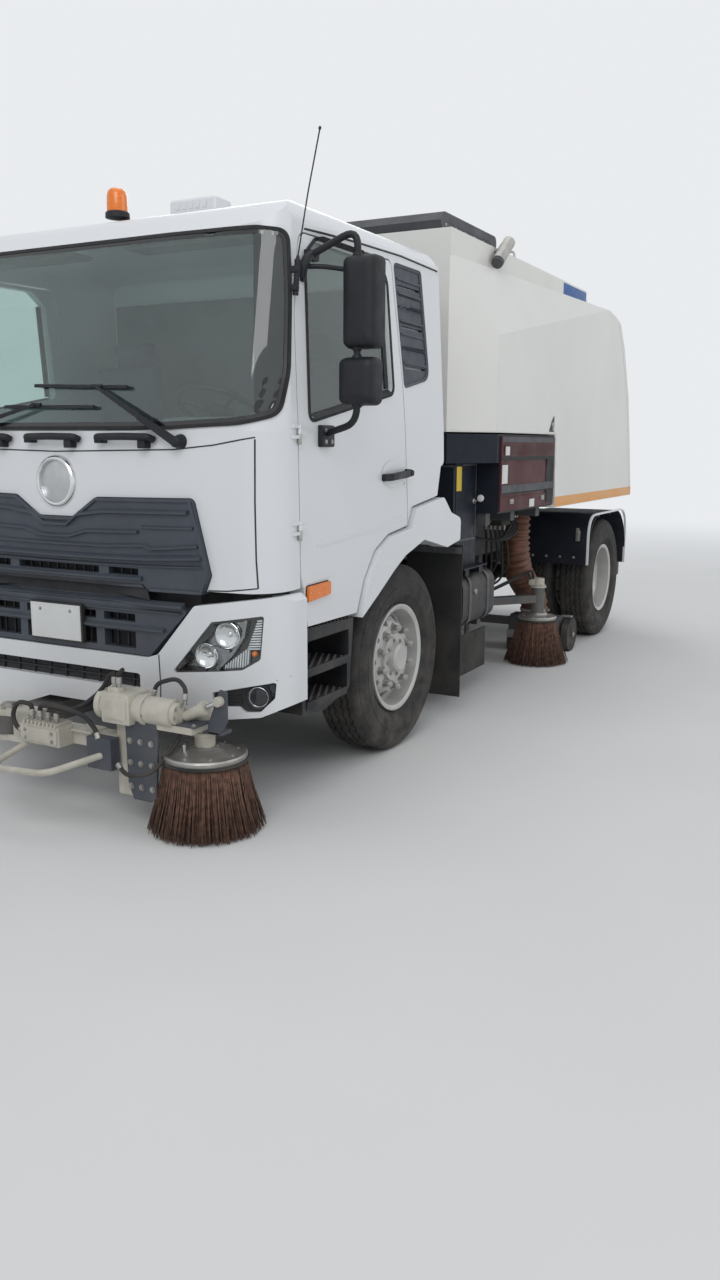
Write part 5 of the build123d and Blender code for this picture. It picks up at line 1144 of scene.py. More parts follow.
# Mirrors. Two moulded heads with glass to the rear are clamped on one bent steel tube, carried by a bracket
# on the door's front pillar, a strut and a plate below the window.
# each ring of a head: its station and how far its outline is drawn in
HEAD_RINGS = ((-1.0545, 0.034), (-1.0510, 0.022), (-1.0430, 0.011), (-1.0300, 0.004), (-1.005, 0.0), (-0.952, 0.0),
              (-0.9455, 0.004), (-0.9455, 0.010), (-0.952, 0.0125))
CORNERS = ((1, 1), (-1, 1), (-1, -1), (1, -1))
CORNER_STEPS = 7
HEAD_POINTS = len(CORNERS) * CORNER_STEPS
GLASS_THICK = 0.003
heads, glasses = [], []
for z0, z1, x0, x1 in ((1.865, 2.070, 1.325, 1.505), (2.105, 2.490, 1.345, 1.515)):
    middle = Vector(((x0 + x1) / 2, 0, (z0 + z1) / 2))
    half_x, half_z = (x1 - x0) / 2, (z1 - z0) / 2
    rounding = min(half_x, half_z) * 0.36
    vertices = []
    for y, drawn in HEAD_RINGS:
        grow_x, grow_z = (half_x - drawn) / half_x, (half_z - drawn) / half_z
        for quarter, (sign_x, sign_z) in enumerate(CORNERS):
            for step in range(CORNER_STEPS):
                angle, radius = math.radians(90 * quarter + 15 * step), rounding - drawn * 0.6
                u = (half_x - rounding) * sign_x + radius * math.cos(angle)
                v = (half_z - rounding) * sign_z + radius * math.sin(angle)
                vertices.append((middle.x + u * grow_x, y, middle.z + v * grow_z))
    heads.append((vertices, quads(len(HEAD_RINGS), HEAD_POINTS) + [tuple(range(HEAD_POINTS))]))
    inner = vertices[-HEAD_POINTS:]
    glasses.append((inner + [(x, y - GLASS_THICK, z) for x, y, z in inner], capped(2, HEAD_POINTS)))
    boss = [(-0.010, 0.024), (0.006, 0.023), (0.014, 0.018), (0.014, 0.0)]
    for z, way in ((z1 - 0.004, 1), (z0 + 0.004, -1)):
        heads.append(lathe(boss, (1.405, -1.000, z), (0, 0, way), 20))
stem = [
    tube([(1.176, -1.040, 2.492), (1.405, -1.000, 2.600), (1.405, -1.000, 1.790), (1.205, -0.938, 1.742)],
         0.0155, 18, 0.075),
    tube([(1.178, -1.062, 2.452), (1.250, -1.030, 2.452), (1.352, -1.000, 2.436)], 0.0105, 14, 0.03),
    tube([(1.180, -1.092, 2.402), (1.196, -1.094, 2.462), (1.196, -1.046, 2.506), (1.190, -0.990, 2.508)],
         0.020, 16, 0.05),
    box((1.168, 1.198), (-1.108, -1.074), (2.384, 2.424), 0.009),
    box((1.166, 1.205), (-1.066, -0.978), (2.480, 2.524), 0.012),
    box((1.190, 1.226), (-0.990, -0.880), (1.684, 1.782), 0.010),
    box((1.186, 1.214), (-0.960, -0.915), (1.722, 1.764), 0.008),
]
clamp = bolts([(1.226, y, z) for y in (-0.962, -0.908) for z in (1.708, 1.758)], (1, 0, 0), 0.007, 0.006)
for side, name in LEFT_AND_RIGHT:
    body = "cab_door_" + name
    piece("mirror_heads_" + name, flip(heads, side), body, "trim_black")
    piece("mirror_glasses_" + name, flip(glasses, side), body, "mirror_glass")
    piece("mirror_stem_" + name, flip(stem, side), body, "trim_black")
    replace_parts(piece("mirror_bolts_" + name, flip(clamp, side), body, "bare_steel"), "mirrors_" + name)

# Steps, arches and flaps. The step treads are pressed with raised grips and edged with a folded lip, the arches
# are riveted to their liners, and the rubber flaps hang from bolted clamp bars.
grips, lips = [], []
for z, y0, y1 in ((0.505, -1.085, -0.720), (0.665, -1.085, -0.705)):
    for row in range(5):
        for column in range(10):
            x = 1.012 + row * 0.036 + (0.018 if column % 2 else 0.0)
            y = y0 + (y1 - y0) * (column + 0.5) / 10
            vertices = [(x + dx * wide, y + dy * deep, z + rise)
                        for wide, deep, rise in ((0.012, 0.010, 0), (0.005, 0.004, 0.006))
                        for dx, dy in ((-1, 0), (0, -1), (1, 0), (0, 1))]
            grips.append((vertices, capped(2, 4)))
    lips.append(box((1.190, 1.201), (y0 - 0.012, y1 + 0.010), (z - 0.030, z + 0.008), 0.003))
for column in range(12):
    y = -1.090 + column * 0.036
    lips.append(box((1.150, 1.198), (y, y + 0.014), (0.856, 0.864), 0.002))
piece("step_grips", both(grips), "chassis", "frame_grey")
piece("step_lips", both(lips), "chassis", "trim_black")

rivet = [(0, 0), (0, 0.007), (0.003, 0.006), (0.0045, 0.0)]
arch = on_side("wheel_arches", fallback=1.226)
arch_rivets = [(-0.500, 0.955), (-0.330, 1.080), (-0.100, 1.165), (0.180, 1.215), (0.420, 1.185), (0.585, 1.180)]
arch_rivets = [lathe(rivet, arch(y, z, -0.001), (1, 0, 0), 14) for y, z in arch_rivets]
flap_bars = [box((0.856, 1.220), (0.681, 0.690), (1.045, 1.085), 0.003)]
for y, way in ((0.681, -1), (0.698, 1)):
    flap_bars.append(bolts([(0.900 + k * 0.070, y, 1.065) for k in range(5)], (0, way, 0), 0.007, 0.006))
piece("arch_rivets", both(arch_rivets), "chassis", "cab_white")
piece("flap_clamps", both(flap_bars), "chassis", "frame_grey")

# Cab inside. A moulded dashboard with an instrument hood, a console and round vents, a wheel on a sleeved
# column, two sprung seats in woven cloth with head pads, a rear trim panel and sun visors.
dash_side = smooth_outline([(-1.300, 1.440), (-1.318, 1.690, 0.02), (-1.180, 1.752, 0.05), (-1.060, 1.760, 0.03),
                            (-0.998, 1.700, 0.03), (-1.030, 1.590, 0.03), (-1.085, 1.440)])
hood = smooth_outline([(-1.140, 1.740), (-1.110, 1.812, 0.03), (-1.010, 1.822, 0.015), (-0.985, 1.775, 0.01),
                       (-1.010, 1.700)])
console = smooth_outline([(-1.060, 1.420), (-1.005, 1.700, 0.02), (-0.900, 1.600, 0.05), (-0.870, 1.420)])
trim = [
    prism(dash_side, "x", -1.085, 1.085, 0.012), prism(hood, "x", 0.400, 0.800, 0.015),
    prism(console, "x", -0.200, 0.200, 0.015),
    box((-0.300, 0.300), (-0.560, -0.120), (1.375, 1.520), 0.035),
    box((-1.060, 1.060), (0.262, 0.300), (1.400, 2.560), 0.02),
    box((-1.060, 1.060), (0.120, 0.262), (1.400, 1.560), 0.03),
]
for x in (-0.590, 0.590):
    trim.append(box((x - 0.420, x + 0.420), (-1.055, -0.900), (2.598, 2.622), 0.010))
    trim.append(box((x - 0.215, x + 0.215), (-0.520, -0.120), (1.240, 1.490), 0.03))
piece("dashboard", trim, "chassis", "cab_trim")

vent = [(0, 0), (0, 0.048), (0.010, 0.046), (0.010, 0.036), (0.002, 0.034), (0.002, 0)]
controls = [lathe(vent, (x, -1.008, 1.672), (0, 1, 0.3), 28) for x in (-0.950, -0.120, 0.120, 0.950)]
wheel_centre, wheel_axis = Vector((0.600, -0.893, 1.852)), Vector((0, 0.160, 0.280)).normalized()
rim = [(dy, 0.212 + dx) for dx, dy in around(10, 0.016)]
controls.append(lathe(rim + rim[:1], wheel_centre, wheel_axis, 56))
hub = [(-0.045, 0), (-0.045, 0.045), (-0.010, 0.070), (0.004, 0.066), (0.010, 0.045), (0.010, 0)]
controls.append(lathe(hub, wheel_centre, wheel_axis, 32))
first, second = frame_of(wheel_axis)
for turn in (20, 160, 270):
    outward = first * math.cos(math.radians(turn)) + second * math.sin(math.radians(turn))
    controls.append(bar(wheel_centre + outward * 0.050 - wheel_axis * 0.008, wheel_centre + outward * 0.208, 0.012, 12))
controls.append(bar(wheel_centre - wheel_axis * 0.040, (0.600, -1.060, 1.560), 0.038, 24))
for x, lean in ((0.520, -0.10), (0.680, 0.10)):
    controls.append(bar((x, -0.935, 1.800), (x + lean, -0.925, 1.822), 0.007, 10))
controls.append(bar((0.160, -0.560, 1.480), (0.170, -0.620, 1.700), 0.009, 12))
knob = [(0, 0), (0.004, 0.020), (0.024, 0.026), (0.044, 0.020), (0.050, 0.0)]
controls.append(lathe(knob, (0.170, -0.620, 1.695), (0.02, -0.2, 1), 20))
for x in (0.470, 0.560, 0.690):
    controls.append(box((x, x + 0.060), (-1.065, -1.045), (1.290, 1.370), 0.008))
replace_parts(piece("cab_controls", controls, "chassis", "trim_black"), "cab_interior")

CUSHION_STEPS = 14


def cushion(middle, size, crown, tilt):
    """A stuffed pad: a rounded block that swells towards its middle, with sewn channels across its face."""
    vertices, faces, across = [], [], CUSHION_STEPS + 1
    tilted = Matrix.Rotation(math.radians(tilt), 3, "X")
    for face_side in (1, -1):
        for i in range(across):
            for j in range(across):
                u, v = 2 * i / CUSHION_STEPS - 1, 2 * j / CUSHION_STEPS - 1
                swell = 0.25 + 0.75 * ((1 - abs(u) ** 6) * (1 - abs(v) ** 6)) ** 0.35
                height = face_side * size[2] / 2 * swell
                if face_side > 0:
                    height += crown * (1 - u * u) * (1 - v * v) - 0.006 * max(0.0, math.cos(v * math.pi * 3)) ** 8
                vertices.append(tuple(Vector(middle) + tilted @ Vector((u * size[0] / 2, v * size[1] / 2, height))))
    half = across ** 2
    for start in (0, half):
        for i in range(CUSHION_STEPS):
            for j in range(CUSHION_STEPS):
                a = start + i * across + j
                faces.append((a, a + 1, a + across + 1, a + across))
    last = CUSHION_STEPS * across
    rim = [i * across for i in range(across)] + [last + j for j in range(1, across)]
    rim += [i * across + CUSHION_STEPS for i in range(CUSHION_STEPS - 1, -1, -1)]
    rim += list(range(CUSHION_STEPS - 1, 0, -1))
    faces += [(a, b, half + b, half + a) for a, b in zip(rim, rim[1:] + rim[:1])]
    return vertices, faces


for x, name in ((0.600, "driver"), (-0.600, "mate")):
    for part, y, z, size, crown, tilt in (
        ("seat", -0.350, 1.565, (0.480, 0.500, 0.140), 0.020, 4),
        ("back", -0.125, 1.860, (0.460, 0.560, 0.120), 0.016, 98),
        ("head", -0.090, 2.205, (0.270, 0.150, 0.090), 0.010, 98),
    ):
        piece(name + "_" + part, cushion((x, y, z), size, crown, tilt), "chassis", "seat_cloth", 60)

# Hopper. A welded steel tank: capped seams, a stiffening fold round the discharge end, a blank plate on the
# deck's side, an amber lamp, lifting eyes, and a tail door hung on two hinges and held by clamps.
hopper_side = on_side("hopper")
piece("deck_plates", both(box((1.0745, 1.0790), (2.960, 3.580), (2.836, 2.936), 0.002)), "hopper_body", "label_blue")
notch = [(2.170, 1.778), (2.318, 1.778), (2.318, 1.905), (2.290, 1.912), (2.245, 1.880), (2.195, 1.815)]
deck_frame = box((1.0740, 1.0775), (2.945, 3.595), (2.824, 2.948), 0.002)
notch_edge = strip(notch, 0.010, hopper_side, 0.004, 0.006, True, 0.02)
piece("deck_frames", both([deck_frame, notch_edge]), "hopper_body", "body_cream")
notch_inside = [(2.175, 1.782), (2.313, 1.782), (2.313, 1.898), (2.288, 1.905), (2.247, 1.874), (2.200, 1.812)]
notch_fill = draped(refined(notch_inside, 0.03), hopper_side, 0.0015, 0.003, 2)
bracket = [lathe([(0, 0), (0, 0.022), (0.012, 0.020), (0.014, 0)], hopper_side(2.275, 1.842), (1, 0, 0), 24),
           box((1.250, 1.262), (2.262, 2.290), (1.800, 1.838), 0.003)]
for side, name in LEFT_AND_RIGHT:
    piece("notch_" + name, flip(notch_fill, side), "hopper_body", "grille_grey")
    piece("notch_pin_" + name, flip(bracket, side), "hopper_body", "bare_steel")

folds = []
for start, end, width, lift, depth in (
    ((1.152, 1.785), (1.152, 2.374), 0.010, 0.0022, 0.005), ((2.372, 1.255), (2.372, 1.786), 0.012, 0.0030, 0.006),
    ((0.800, 1.786), (1.140, 1.786), 0.012, 0.0030, 0.006), ((1.160, 1.786), (2.380, 1.786), 0.012, 0.0030, 0.006),
    ((2.380, 1.252), (4.680, 1.252), 0.014, 0.0040, 0.007),
):
    folds.append(strip([start, end], width, hopper_side, lift, depth))
piece("hopper_folds", both(folds), "hopper_body", "body_cream")

eyes = []
for y, deck in ((1.980, 2.948), (3.880, 2.798)):
    eyes.append(box((0.955, 1.045), (y - 0.045, y + 0.045), (deck, deck + 0.012), 0.003))
    loop = [(0.975, y, deck + 0.010), (0.978, y, deck + 0.062), (1.022, y, deck + 0.062), (1.025, y, deck + 0.010)]
    eyes.append(tube(loop, 0.008, 12, 0.022))
piece("lifting_eyes", both(eyes), "hopper_body", "bare_steel")
for name, profile, look in (
    ("rear_beacon_feet", [(0, 0), (0, 0.046), (0.014, 0.045), (0.018, 0.040), (0.018, 0)], "trim_black"),
    ("rear_beacons", [(0.016, 0), (0.016, 0.038), (0.060, 0.036), (0.074, 0.024), (0.078, 0)], "amber"),
):
    lamps = [lathe(profile, (x, 3.800, 2.798), (0, 0, 1), 28) for x in (0.990, -0.990)]
    piece(name, lamps, "hopper_body", look)

tail_hinges = []
for x in (0.550, 0.760):
    tail_hinges.append(box((x - 0.020, x + 0.020), (3.845, 3.985), (2.775, 2.812), 0.006))
    tail_hinges.append(bar((x - 0.034, 3.915, 2.800), (x + 0.034, 3.915, 2.800), 0.014, 16))
piece("tail_hinge_pins", both(tail_hinges), "hopper_body", "frame_grey")

tail, tail_or_hopper = on_tail("tail_door"), on_tail("tail_door", "hopper")
tail_ribs, tail_metal = [], []
for side in (1, -1):
    for width, line in ((0.050, ((1.120, 1.360), (1.110, 1.900), (1.060, 2.380))),
                        (0.060, ((0.400, 1.360), (0.390, 1.900), (0.370, 2.420)))):
        tail_ribs.append(strip([(x * side, z) for x, z in line], width, tail, 0.012, 0.016))
    at = Vector(tail_or_hopper(1.000 * side, 1.345))
    tail_metal.append(box((at.x - 0.030, at.x + 0.030), (at.y - 0.010, at.y + 0.040), (1.290, 1.400), 0.008))
    tail_metal.append(bar(at + Vector((0, 0.030, -0.040)), at + Vector((0, 0.050, 0.110)), 0.012, 14))
    tail_metal.append(bolts([tail_or_hopper(x * side, 1.330) for x in (0.200, 0.600, 0.800)], (0, 1, 0), 0.012, 0.010))
for reach, z in ((1.060, 1.640), (1.030, 2.120)):
    tail_ribs.append(strip([(-reach, z), (reach, z)], 0.070, tail, 0.014, 0.018))
piece("tail_ribs", tail_ribs, "tail_door_body", "body_cream", 25)
piece("tail_clamps", tail_metal, "tail_door_body", "bare_steel")
at = Vector(tail(0.0, 1.430))
valve = [(-0.01, 0), (-0.01, 0.095), (0.014, 0.095), (0.018, 0.090), (0.018, 0.060), (0.060, 0.055), (0.064, 0.050),
         (0.064, 0)]
ring = [(dx, at.y + 0.018, at.z + dz) for dx, dz in around(6, 0.078)]
piece("drain_valve", [lathe(valve, at, (0, 1, 0), 40), bolts(ring, (0, 1, 0), 0.008, 0.008)], "tail_door_body",
      "frame_grey")

# Roof box and exhaust. The folded cover over the fan has a seam and screws, and a bright mitred pipe sleeves
# the exhaust with its dark open end turned out.
sleeve_start = Vector((1.125, 1.400, 2.850))
direction = Vector((1.125, 1.592, 2.998)) - sleeve_start
reach = direction.length
sleeve = [(0, 0.036), (0, 0.0415), (reach, 0.0415), (reach, 0.0385), (reach - 0.060, 0.0380), (0, 0.036)]
piece("exhaust_sleeve", lathe(sleeve, sleeve_start, direction, 32), "hopper_body", "bare_steel")
mouth = [(reach - 0.020, 0), (reach - 0.020, 0.0386), (reach - 0.024, 0.0386), (reach - 0.024, 0)]
piece("exhaust_mouth", lathe(mouth, sleeve_start, direction, 32), "hopper_body", "seam_dark")
cover = on_side("roof_box", fallback=1.0)
screw = [(-0.002, 0), (-0.002, 0.009), (0.004, 0.008), (0.005, 0)]
screws = [lathe(screw, cover(0.850 + k * 0.150, 2.985), (1, 0, 0), 12) for k in range(6)]
piece("cover_fold", both(strip([(0.860, 3.005), (1.600, 3.005)], 0.008, cover, 0.002, 0.005)), "hopper_body",
      "frame_grey")
piece("cover_screws", both(screws), "hopper_body", "bare_steel")

# Enclosure. Its side panels carry a pressed upper grille, two recessed maroon fields between grey strips and a
# black hinge post; blank labels, a yellow label and a knob are fixed to them and to the front cabinet. The maroon of
# the fields and slats is dark gloss paint with a reddish reflection painted into its colour.
panel_side = on_side("access_panels")
PANEL_FRONT, PANEL_REAR = 1.222, 2.312


def patch(y0, y1, z0, z1, spacing, lift, depth, rows=2):
    """A rectangular plate draped on the side panels."""
    return draped(refined([(y0, z0), (y1, z0), (y1, z1), (y0, z1)], spacing), panel_side, lift, depth, rows)


latches = []
for y in (1.420, 2.060):
    at = Vector(panel_side(y, 1.330))
    latches.append(box((at.x - 0.002, at.x + 0.008), (y - 0.030, y + 0.030), (1.314, 1.346), 0.003))
    latches.append(lathe([(0.006, 0), (0.006, 0.010), (0.012, 0.009), (0.013, 0)], at, (1, 0, 0), 16))
cabinet_latch = [(0, 0), (0, 0.018), (0.008, 0.016), (0.008, 0.007), (0.022, 0.006), (0.024, 0)]
knob = [(0, 0), (0, 0.010), (0.012, 0.009), (0.016, 0.020), (0.030, 0.024), (0.040, 0.018), (0.044, 0)]
for name, parts, look in (
    ("panel_strips", [patch(PANEL_FRONT, PANEL_REAR, 1.388, 1.438, 0.08, 0.005, 0.008),
                      patch(PANEL_FRONT, PANEL_REAR, 1.716, 1.750, 0.08, 0.003, 0.005)],
     "frame_grey"),
    ("panel_posts", [patch(2.150, 2.296, 1.290, 1.604, 0.05, 0.004, 0.007),
                     strip([(PANEL_FRONT, 1.612), (PANEL_REAR, 1.612)], 0.022, panel_side, 0.002, 0.004),
                     strip([(PANEL_FRONT, 1.382), (2.140, 1.382)], 0.008, panel_side, 0.002, 0.004)], "seam_dark"),
    # the slats take the panel_maroon colour, dark paint with a painted reddish reflection
    ("panel_slats", [strip([(1.250, 1.640 + k * 0.014), (2.290, 1.640 + k * 0.014)], 0.006, panel_side, 0.005, 0.007)
                     for k in range(5)], "panel_maroon"),
    ("panel_labels", [patch(1.272, 1.345, 1.632, 1.688, 0.05, 0.0075, 0.004, 1),
                      patch(1.232, 1.352, 1.450, 1.570, 0.05, 0.0020, 0.003, 1),
                      patch(1.790, 1.890, 1.276, 1.330, 0.05, 0.0020, 0.003, 1)], "label_white"),
    ("panel_latches", latches, "bare_steel"),
    ("cabinet_label", box((1.1045, 1.1070), (0.856, 0.934), (1.414, 1.564), 0.0008), "label_yellow"),
    ("cabinet_edges", [box(*sides, 0.001) for sides in (
        ((1.1040, 1.1075), (0.946, 1.184), (1.566, 1.580)), ((1.1040, 1.1075), (1.172, 1.184), (1.100, 1.570)),
        ((1.1040, 1.1075), (0.856, 1.184), (1.096, 1.108)), ((0.815, 1.100), (0.8460, 0.8510), (1.560, 1.574)),
        ((0.815, 0.827), (0.8460, 0.8510), (1.100, 1.570)), ((1.088, 1.100), (0.8460, 0.8510), (1.100, 1.570)),
    )], "frame_grey"),
    ("cabinet_latch", lathe(cabinet_latch, (1.105, 1.150, 1.340), (1, 0, 0), 20), "bare_steel"),
    ("enclosure_knob", lathe(knob, (1.140, 1.2055, 1.358), (0, -1, 0), 24), "label_white"),
):
    for side, word in LEFT_AND_RIGHT:
        piece(name + "_" + word, flip(parts, side), "chassis", look)

# Side units. Ribbed suction hoses clamped to bolted nozzles on castor wheels, and brush arms that carry a
# hydraulic motor fed by two hoses.
HOSE_X, HOSE_TOP_Y, NOZZLE_Y, RIB_STEP = 0.900, 2.560, 3.080, 0.048
route = [(HOSE_X, HOSE_TOP_Y, 1.228), (HOSE_X, HOSE_TOP_Y, 0.760), (HOSE_X, NOZZLE_Y, 0.420), (HOSE_X, NOZZLE_Y, 0.302)]
hose = tube(route, 0.1035, 30, 0.26, (0.0080, lambda d: 1.0 + 0.085 * math.cos(d / RIB_STEP * 2 * math.pi)))
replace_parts(piece("ribbed_hoses", both(hose), "chassis", "hose", 50), "suction_hoses")
hose_clamps = []
for z, y in ((1.196, HOSE_TOP_Y), (0.345, NOZZLE_Y)):
    band = [(-0.012, 0.108), (-0.012, 0.1155), (0.012, 0.1155), (0.012, 0.108)]
    hose_clamps.append(lathe(band, (HOSE_X, y, z), (0, 0, 1), 40))
    hose_clamps.append(box((1.008, 1.030), (y - 0.020, y + 0.020), (z - 0.010, z + 0.010), 0.003))
piece("hose_clamps", both(hose_clamps), "chassis", "bare_steel")
piece("nozzle_plates", both([
    box((0.712, 1.138), (2.952, 2.962), (0.050, 0.176), 0.003),
    box((0.712, 1.138), (3.258, 3.268), (0.050, 0.176), 0.003),
    box((1.106, 1.122), (3.120, 3.240), (0.100, 0.250), 0.004),
    box((1.106, 1.200), (3.150, 3.210), (0.284, 0.296), 0.004),
    bolts([(0.750 + k * 0.088, 2.952, 0.150) for k in range(5)], (0, -1, 0), 0.009, 0.008),
    bolts([(0.800, 3.00 + k * 0.060, 0.300) for k in range(3)], (0, 0, 1), 0.008, 0.007),
    bolts([(1.2155, 3.180, 0.140)], (1, 0, 0), 0.016, 0.010),
]), "chassis", "bare_steel")
flaps = [box((0.722, 1.128), (y - 0.004, y + 0.006), (0.012, 0.110), 0.003) for y in (2.940, 3.270)]
piece("nozzle_flaps", both(flaps), "chassis", "rubber")

motor_profile = [(0.0, 0.052), (0.0, 0.062), (0.014, 0.062), (0.016, 0.048), (0.070, 0.046), (0.074, 0.040), (0.074, 0)]
motor = [
    lathe(motor_profile, (SIDE_BRUSH_X, SIDE_BRUSH_Y, 0.598), (0, 0, 1), 28),
    box((1.020, 1.060), (2.560, 2.600), (0.618, 0.664), 0.006),
    bolts([(SIDE_BRUSH_X + dx, SIDE_BRUSH_Y + dy, 0.612) for dx, dy in around(4, 0.054, 45)], (0, 0, 1), 0.007, 0.008),
    bolts([(0.700, 2.150, 0.570)], (0, 0, 1), 0.022, 0.014),
]
lines = [tube(line, 0.009, 10, 0.08) for line in (
    [(1.032, 2.568, 0.664), (1.020, 2.540, 0.720), (0.900, 2.380, 0.640), (0.760, 2.200, 0.560)],
    [(1.048, 2.588, 0.664), (1.050, 2.560, 0.740), (0.930, 2.400, 0.670), (0.770, 2.180, 0.570)],
)]
for side, name in LEFT_AND_RIGHT:
    piece("side_motor_" + name, flip(motor, side), "brush_arm_" + name, "boom_cream")
    piece("side_motor_lines_" + name, flip(lines, side), "brush_arm_" + name, "rubber")

# Hydraulics below the enclosure. A valve block with fittings and a bundle of hoses that droop to the side
# units, with a tag on one of them.
random.seed(7)
blocks = [box((0.800, 1.000), (1.960, 2.240), (1.120, 1.235), 0.006),
          box((0.840, 0.960), (1.500, 1.880), (1.150, 1.240), 0.006)]
piece("valve_blocks", both(blocks), "chassis", "iron")
side_port = [(-0.002, 0), (-0.002, 0.015), (0.014, 0.015), (0.014, 0.011), (0.030, 0.011), (0.032, 0)]
low_port = [(-0.002, 0), (-0.002, 0.014), (0.018, 0.014), (0.018, 0.010), (0.040, 0.010), (0.042, 0)]
fittings = [lathe(side_port, (1.000, 1.985 + k * 0.046, 1.178), (1, 0, 0), 6) for k in range(6)]
fittings += [lathe(low_port, (0.825 + k * 0.036, 2.100, 1.120), (0, 0, -1), 6) for k in range(5)]
piece("valve_fittings", both(fittings), "chassis", "bare_steel")
bundle = []
for side in (1, -1):
    lines = []
    for k in range(5):
        x = 0.825 + k * 0.036
        low = 0.760 + random.uniform(-0.10, 0.08)
        lines.append((0.0085, 0.09, (x, 2.100, 1.085), (x + 0.010, 2.110 + k * 0.012, 0.960),
                      (x - 0.030, 2.190 + k * 0.030, low),
                      (0.720, 2.170 + k * 0.012, 0.600)))
    for k in range(4):
        y = 1.985 + k * 0.046
        lines.append((0.0085, 0.07, (1.030, y, 1.178), (1.075, y, 1.150 - k * 0.02), (1.050, y - 0.150, 1.020),
                      (0.900, 1.700 - k * 0.03, 1.050), (0.800, 1.560, 1.150)))
    lines.append((0.014, 0.10, (0.640, 0.780, 1.000), (0.700, 0.800, 0.930), (0.730, 1.600, 0.915),
                  (0.700, 2.060, 0.700)))
    lines.append((0.011, 0.10, (0.640, 0.760, 1.040), (0.725, 0.790, 0.960), (0.755, 1.580, 0.930),
                  (0.715, 2.080, 0.720)))
    bundle += [flip(tube(line, radius, 10, bend), side) for radius, bend, *line in lines]
piece("hydraulic_hoses", bundle, "chassis", "rubber")
piece("hose_tags", both(box((0.764, 0.800), (1.620, 1.680), (0.900, 0.924), 0.002)), "chassis", "label_yellow")

# Tanks. Rolled black tanks held by steel straps on rubber, with filler cap, drain and gauge.
straps, caps = [], []
outer, inner = (smooth_outline([(0.7165 + d, 0.5365 + d, r), (1.1535 - d, 0.5365 + d, r), (1.1535 - d, 0.8835 - d, r),
                                (0.7165 + d, 0.8835 - d, r)]) for d, r in ((0, 0.092), (0.004, 0.089)))
filler = [(0, 0), (0, 0.046), (0.020, 0.044), (0.026, 0.036), (0.026, 0)]
for side, y0, y1 in ((1, 0.900, 1.450), (-1, 0.900, 1.750)):
    for y in (y0 + 0.120, y1 - 0.120):
        vertices = []
        for line, reach in ((outer, -0.020), (outer, 0.020), (inner, 0.020), (inner, -0.020)):
            vertices += [(x * side, y + reach, z) for x, z in line]
        straps.append((vertices, quads(4, len(outer), True)))
    middle = (y0 + y1) / 2
    straps.append(lathe(filler, (1.020 * side, middle, 0.880), (0, 0, 1), 28))
    caps.append(lathe([(0, 0), (0, 0.020), (0.010, 0.018), (0.012, 0)], (1.150 * side, y0 + 0.200, 0.760),
                      (side, 0, 0), 20))
    caps.append(lathe([(0, 0), (0, 0.016), (0.014, 0.014), (0.016, 0)], (0.940 * side, middle, 0.540), (0, 0, -1), 6))
piece("tank_straps", straps, "chassis", "frame_grey")
piece("tank_caps", caps, "chassis", "bare_steel")

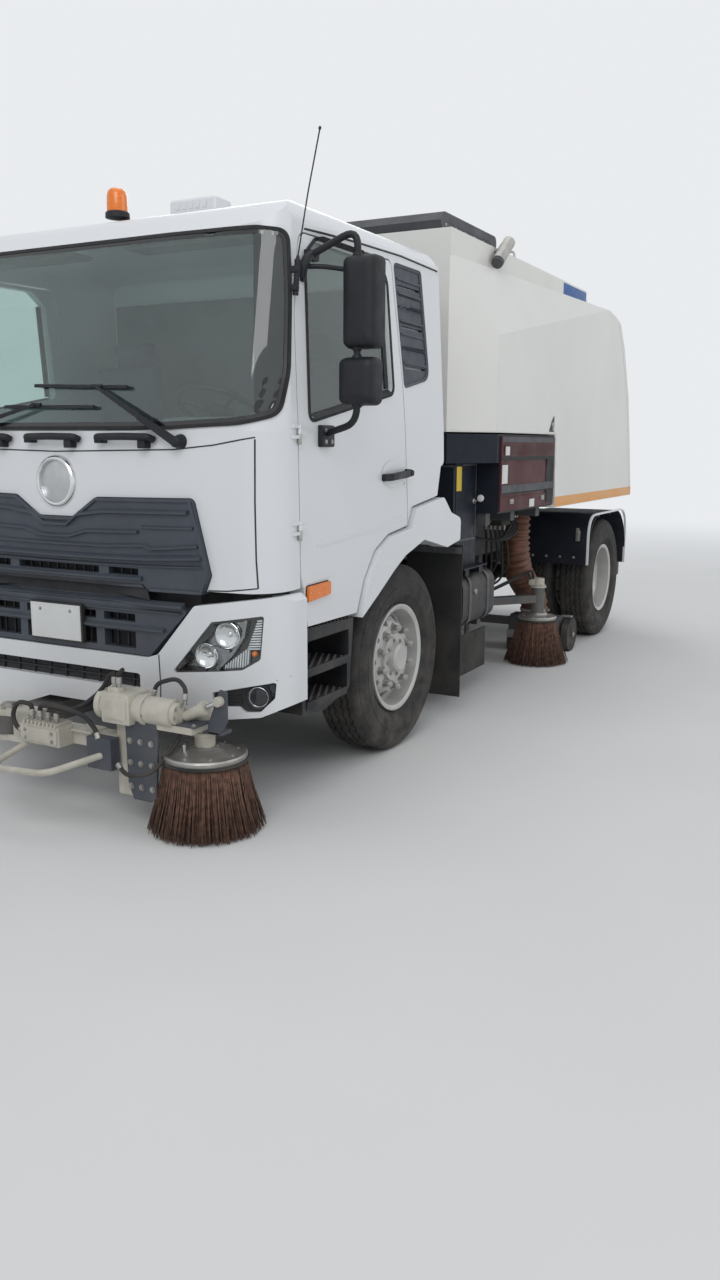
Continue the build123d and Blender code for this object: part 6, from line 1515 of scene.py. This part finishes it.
# Mudguards. Rolled sheet guards with a white folded lip, a stay bracket and bolts along the front face.
GUARD_FRONT, GUARD_REAR, GUARD_TOP = 3.420, 4.700, 1.120
guard = smooth_outline([(GUARD_FRONT, 0.700), (GUARD_FRONT, GUARD_TOP, 0.330), (GUARD_REAR, GUARD_TOP, 0.420),
                        (GUARD_REAR, 0.600)], 12)
lip = []
for i, (y, z) in enumerate(guard):
    run = (Vector(guard[min(i + 1, len(guard) - 1)]) - Vector(guard[max(i - 1, 0)])).normalized()
    for x, reach in ((1.228, 0.0035), (1.246, 0.0035), (1.246, -0.0110), (1.228, -0.0110)):
        lip.append((x, y - run.y * reach, z + run.x * reach))
piece("guard_lips", both((lip, capped(len(guard), 4))), "chassis", "cab_white")
piece("guard_brackets", both([
    box((1.135, 1.170), (3.398, 3.424), (0.900, 0.990), 0.006),
    box((1.140, 1.165), (3.388, 3.404), (0.975, 1.012), 0.005),
    bolts([(0.760 + k * 0.120, 3.4195, 0.760) for k in range(4)], (0, -1, 0), 0.008, 0.007),
]), "chassis", "bare_steel")

# Underrun bar. A pressed bar with rear lamp clusters: red, amber and clear lenses in a black housing, and a
# blank plate between them.
housing = box((0.750, 1.100), (4.8765, 4.8988), (0.469, 0.591), 0.006)
piece("rear_lamp_housings", both(housing), "chassis", "trim_black")
for name, x0, x1, look in (("clear", 0.762, 0.865, "clear_lens"), ("red", 0.871, 0.978, "red_lens"),
                           ("amber", 0.984, 1.088, "amber")):
    lens = [box((x0, x1), (4.8950, 4.9012), (0.484, 0.576), 0.002)]
    for k in range(5):
        lens.append(box((x0 + 0.010, x1 - 0.010), (4.9000, 4.9022), (0.490 + k * 0.017, 0.496 + k * 0.017), 0.0008))
    piece("rear_lamps_" + name, both(lens), "chassis", look)
piece("rear_plate", box((-0.260, 0.260), (4.876, 4.888), (0.474, 0.586), 0.003), "chassis", "label_white")

# Frame and axles. Rivets along the rails, and clips that hold the spring leaves together.
rivets, clips = [], []
rivet = [(-0.001, 0), (-0.001, 0.012), (0.006, 0.010), (0.009, 0.005), (0.010, 0)]
for side in (1, -1):
    for y in (0.95, 1.10, 1.90, 2.05, 2.45, 3.30, 3.45, 4.30):
        for z in (0.800, 0.900):
            at = cast(["frame_rails"], (3.0 * side, y, z), (-side, 0, 0))
            if at is not None:
                rivets.append(lathe(rivet, at, (side, 0, 0), 12))
    for y in (-0.070, 0.070, WHEELBASE - 0.070, WHEELBASE + 0.070):
        low = cast(["leaf_springs"], (0.395 * side, y, 0.0), (0, 0, 1)).z - 0.010
        high = cast(["leaf_springs"], (0.395 * side, y, 2.0), (0, 0, -1)).z + 0.012
        loop = [(0.348 * side, y, low), (0.348 * side, y, high), (0.442 * side, y, high), (0.442 * side, y, low)]
        clips.append(tube(loop, 0.010, 10, 0.03))
piece("rail_rivets", rivets, "chassis", "frame_grey")
piece("spring_clips", clips, "chassis", "iron")

bpy.context.view_layer.update()
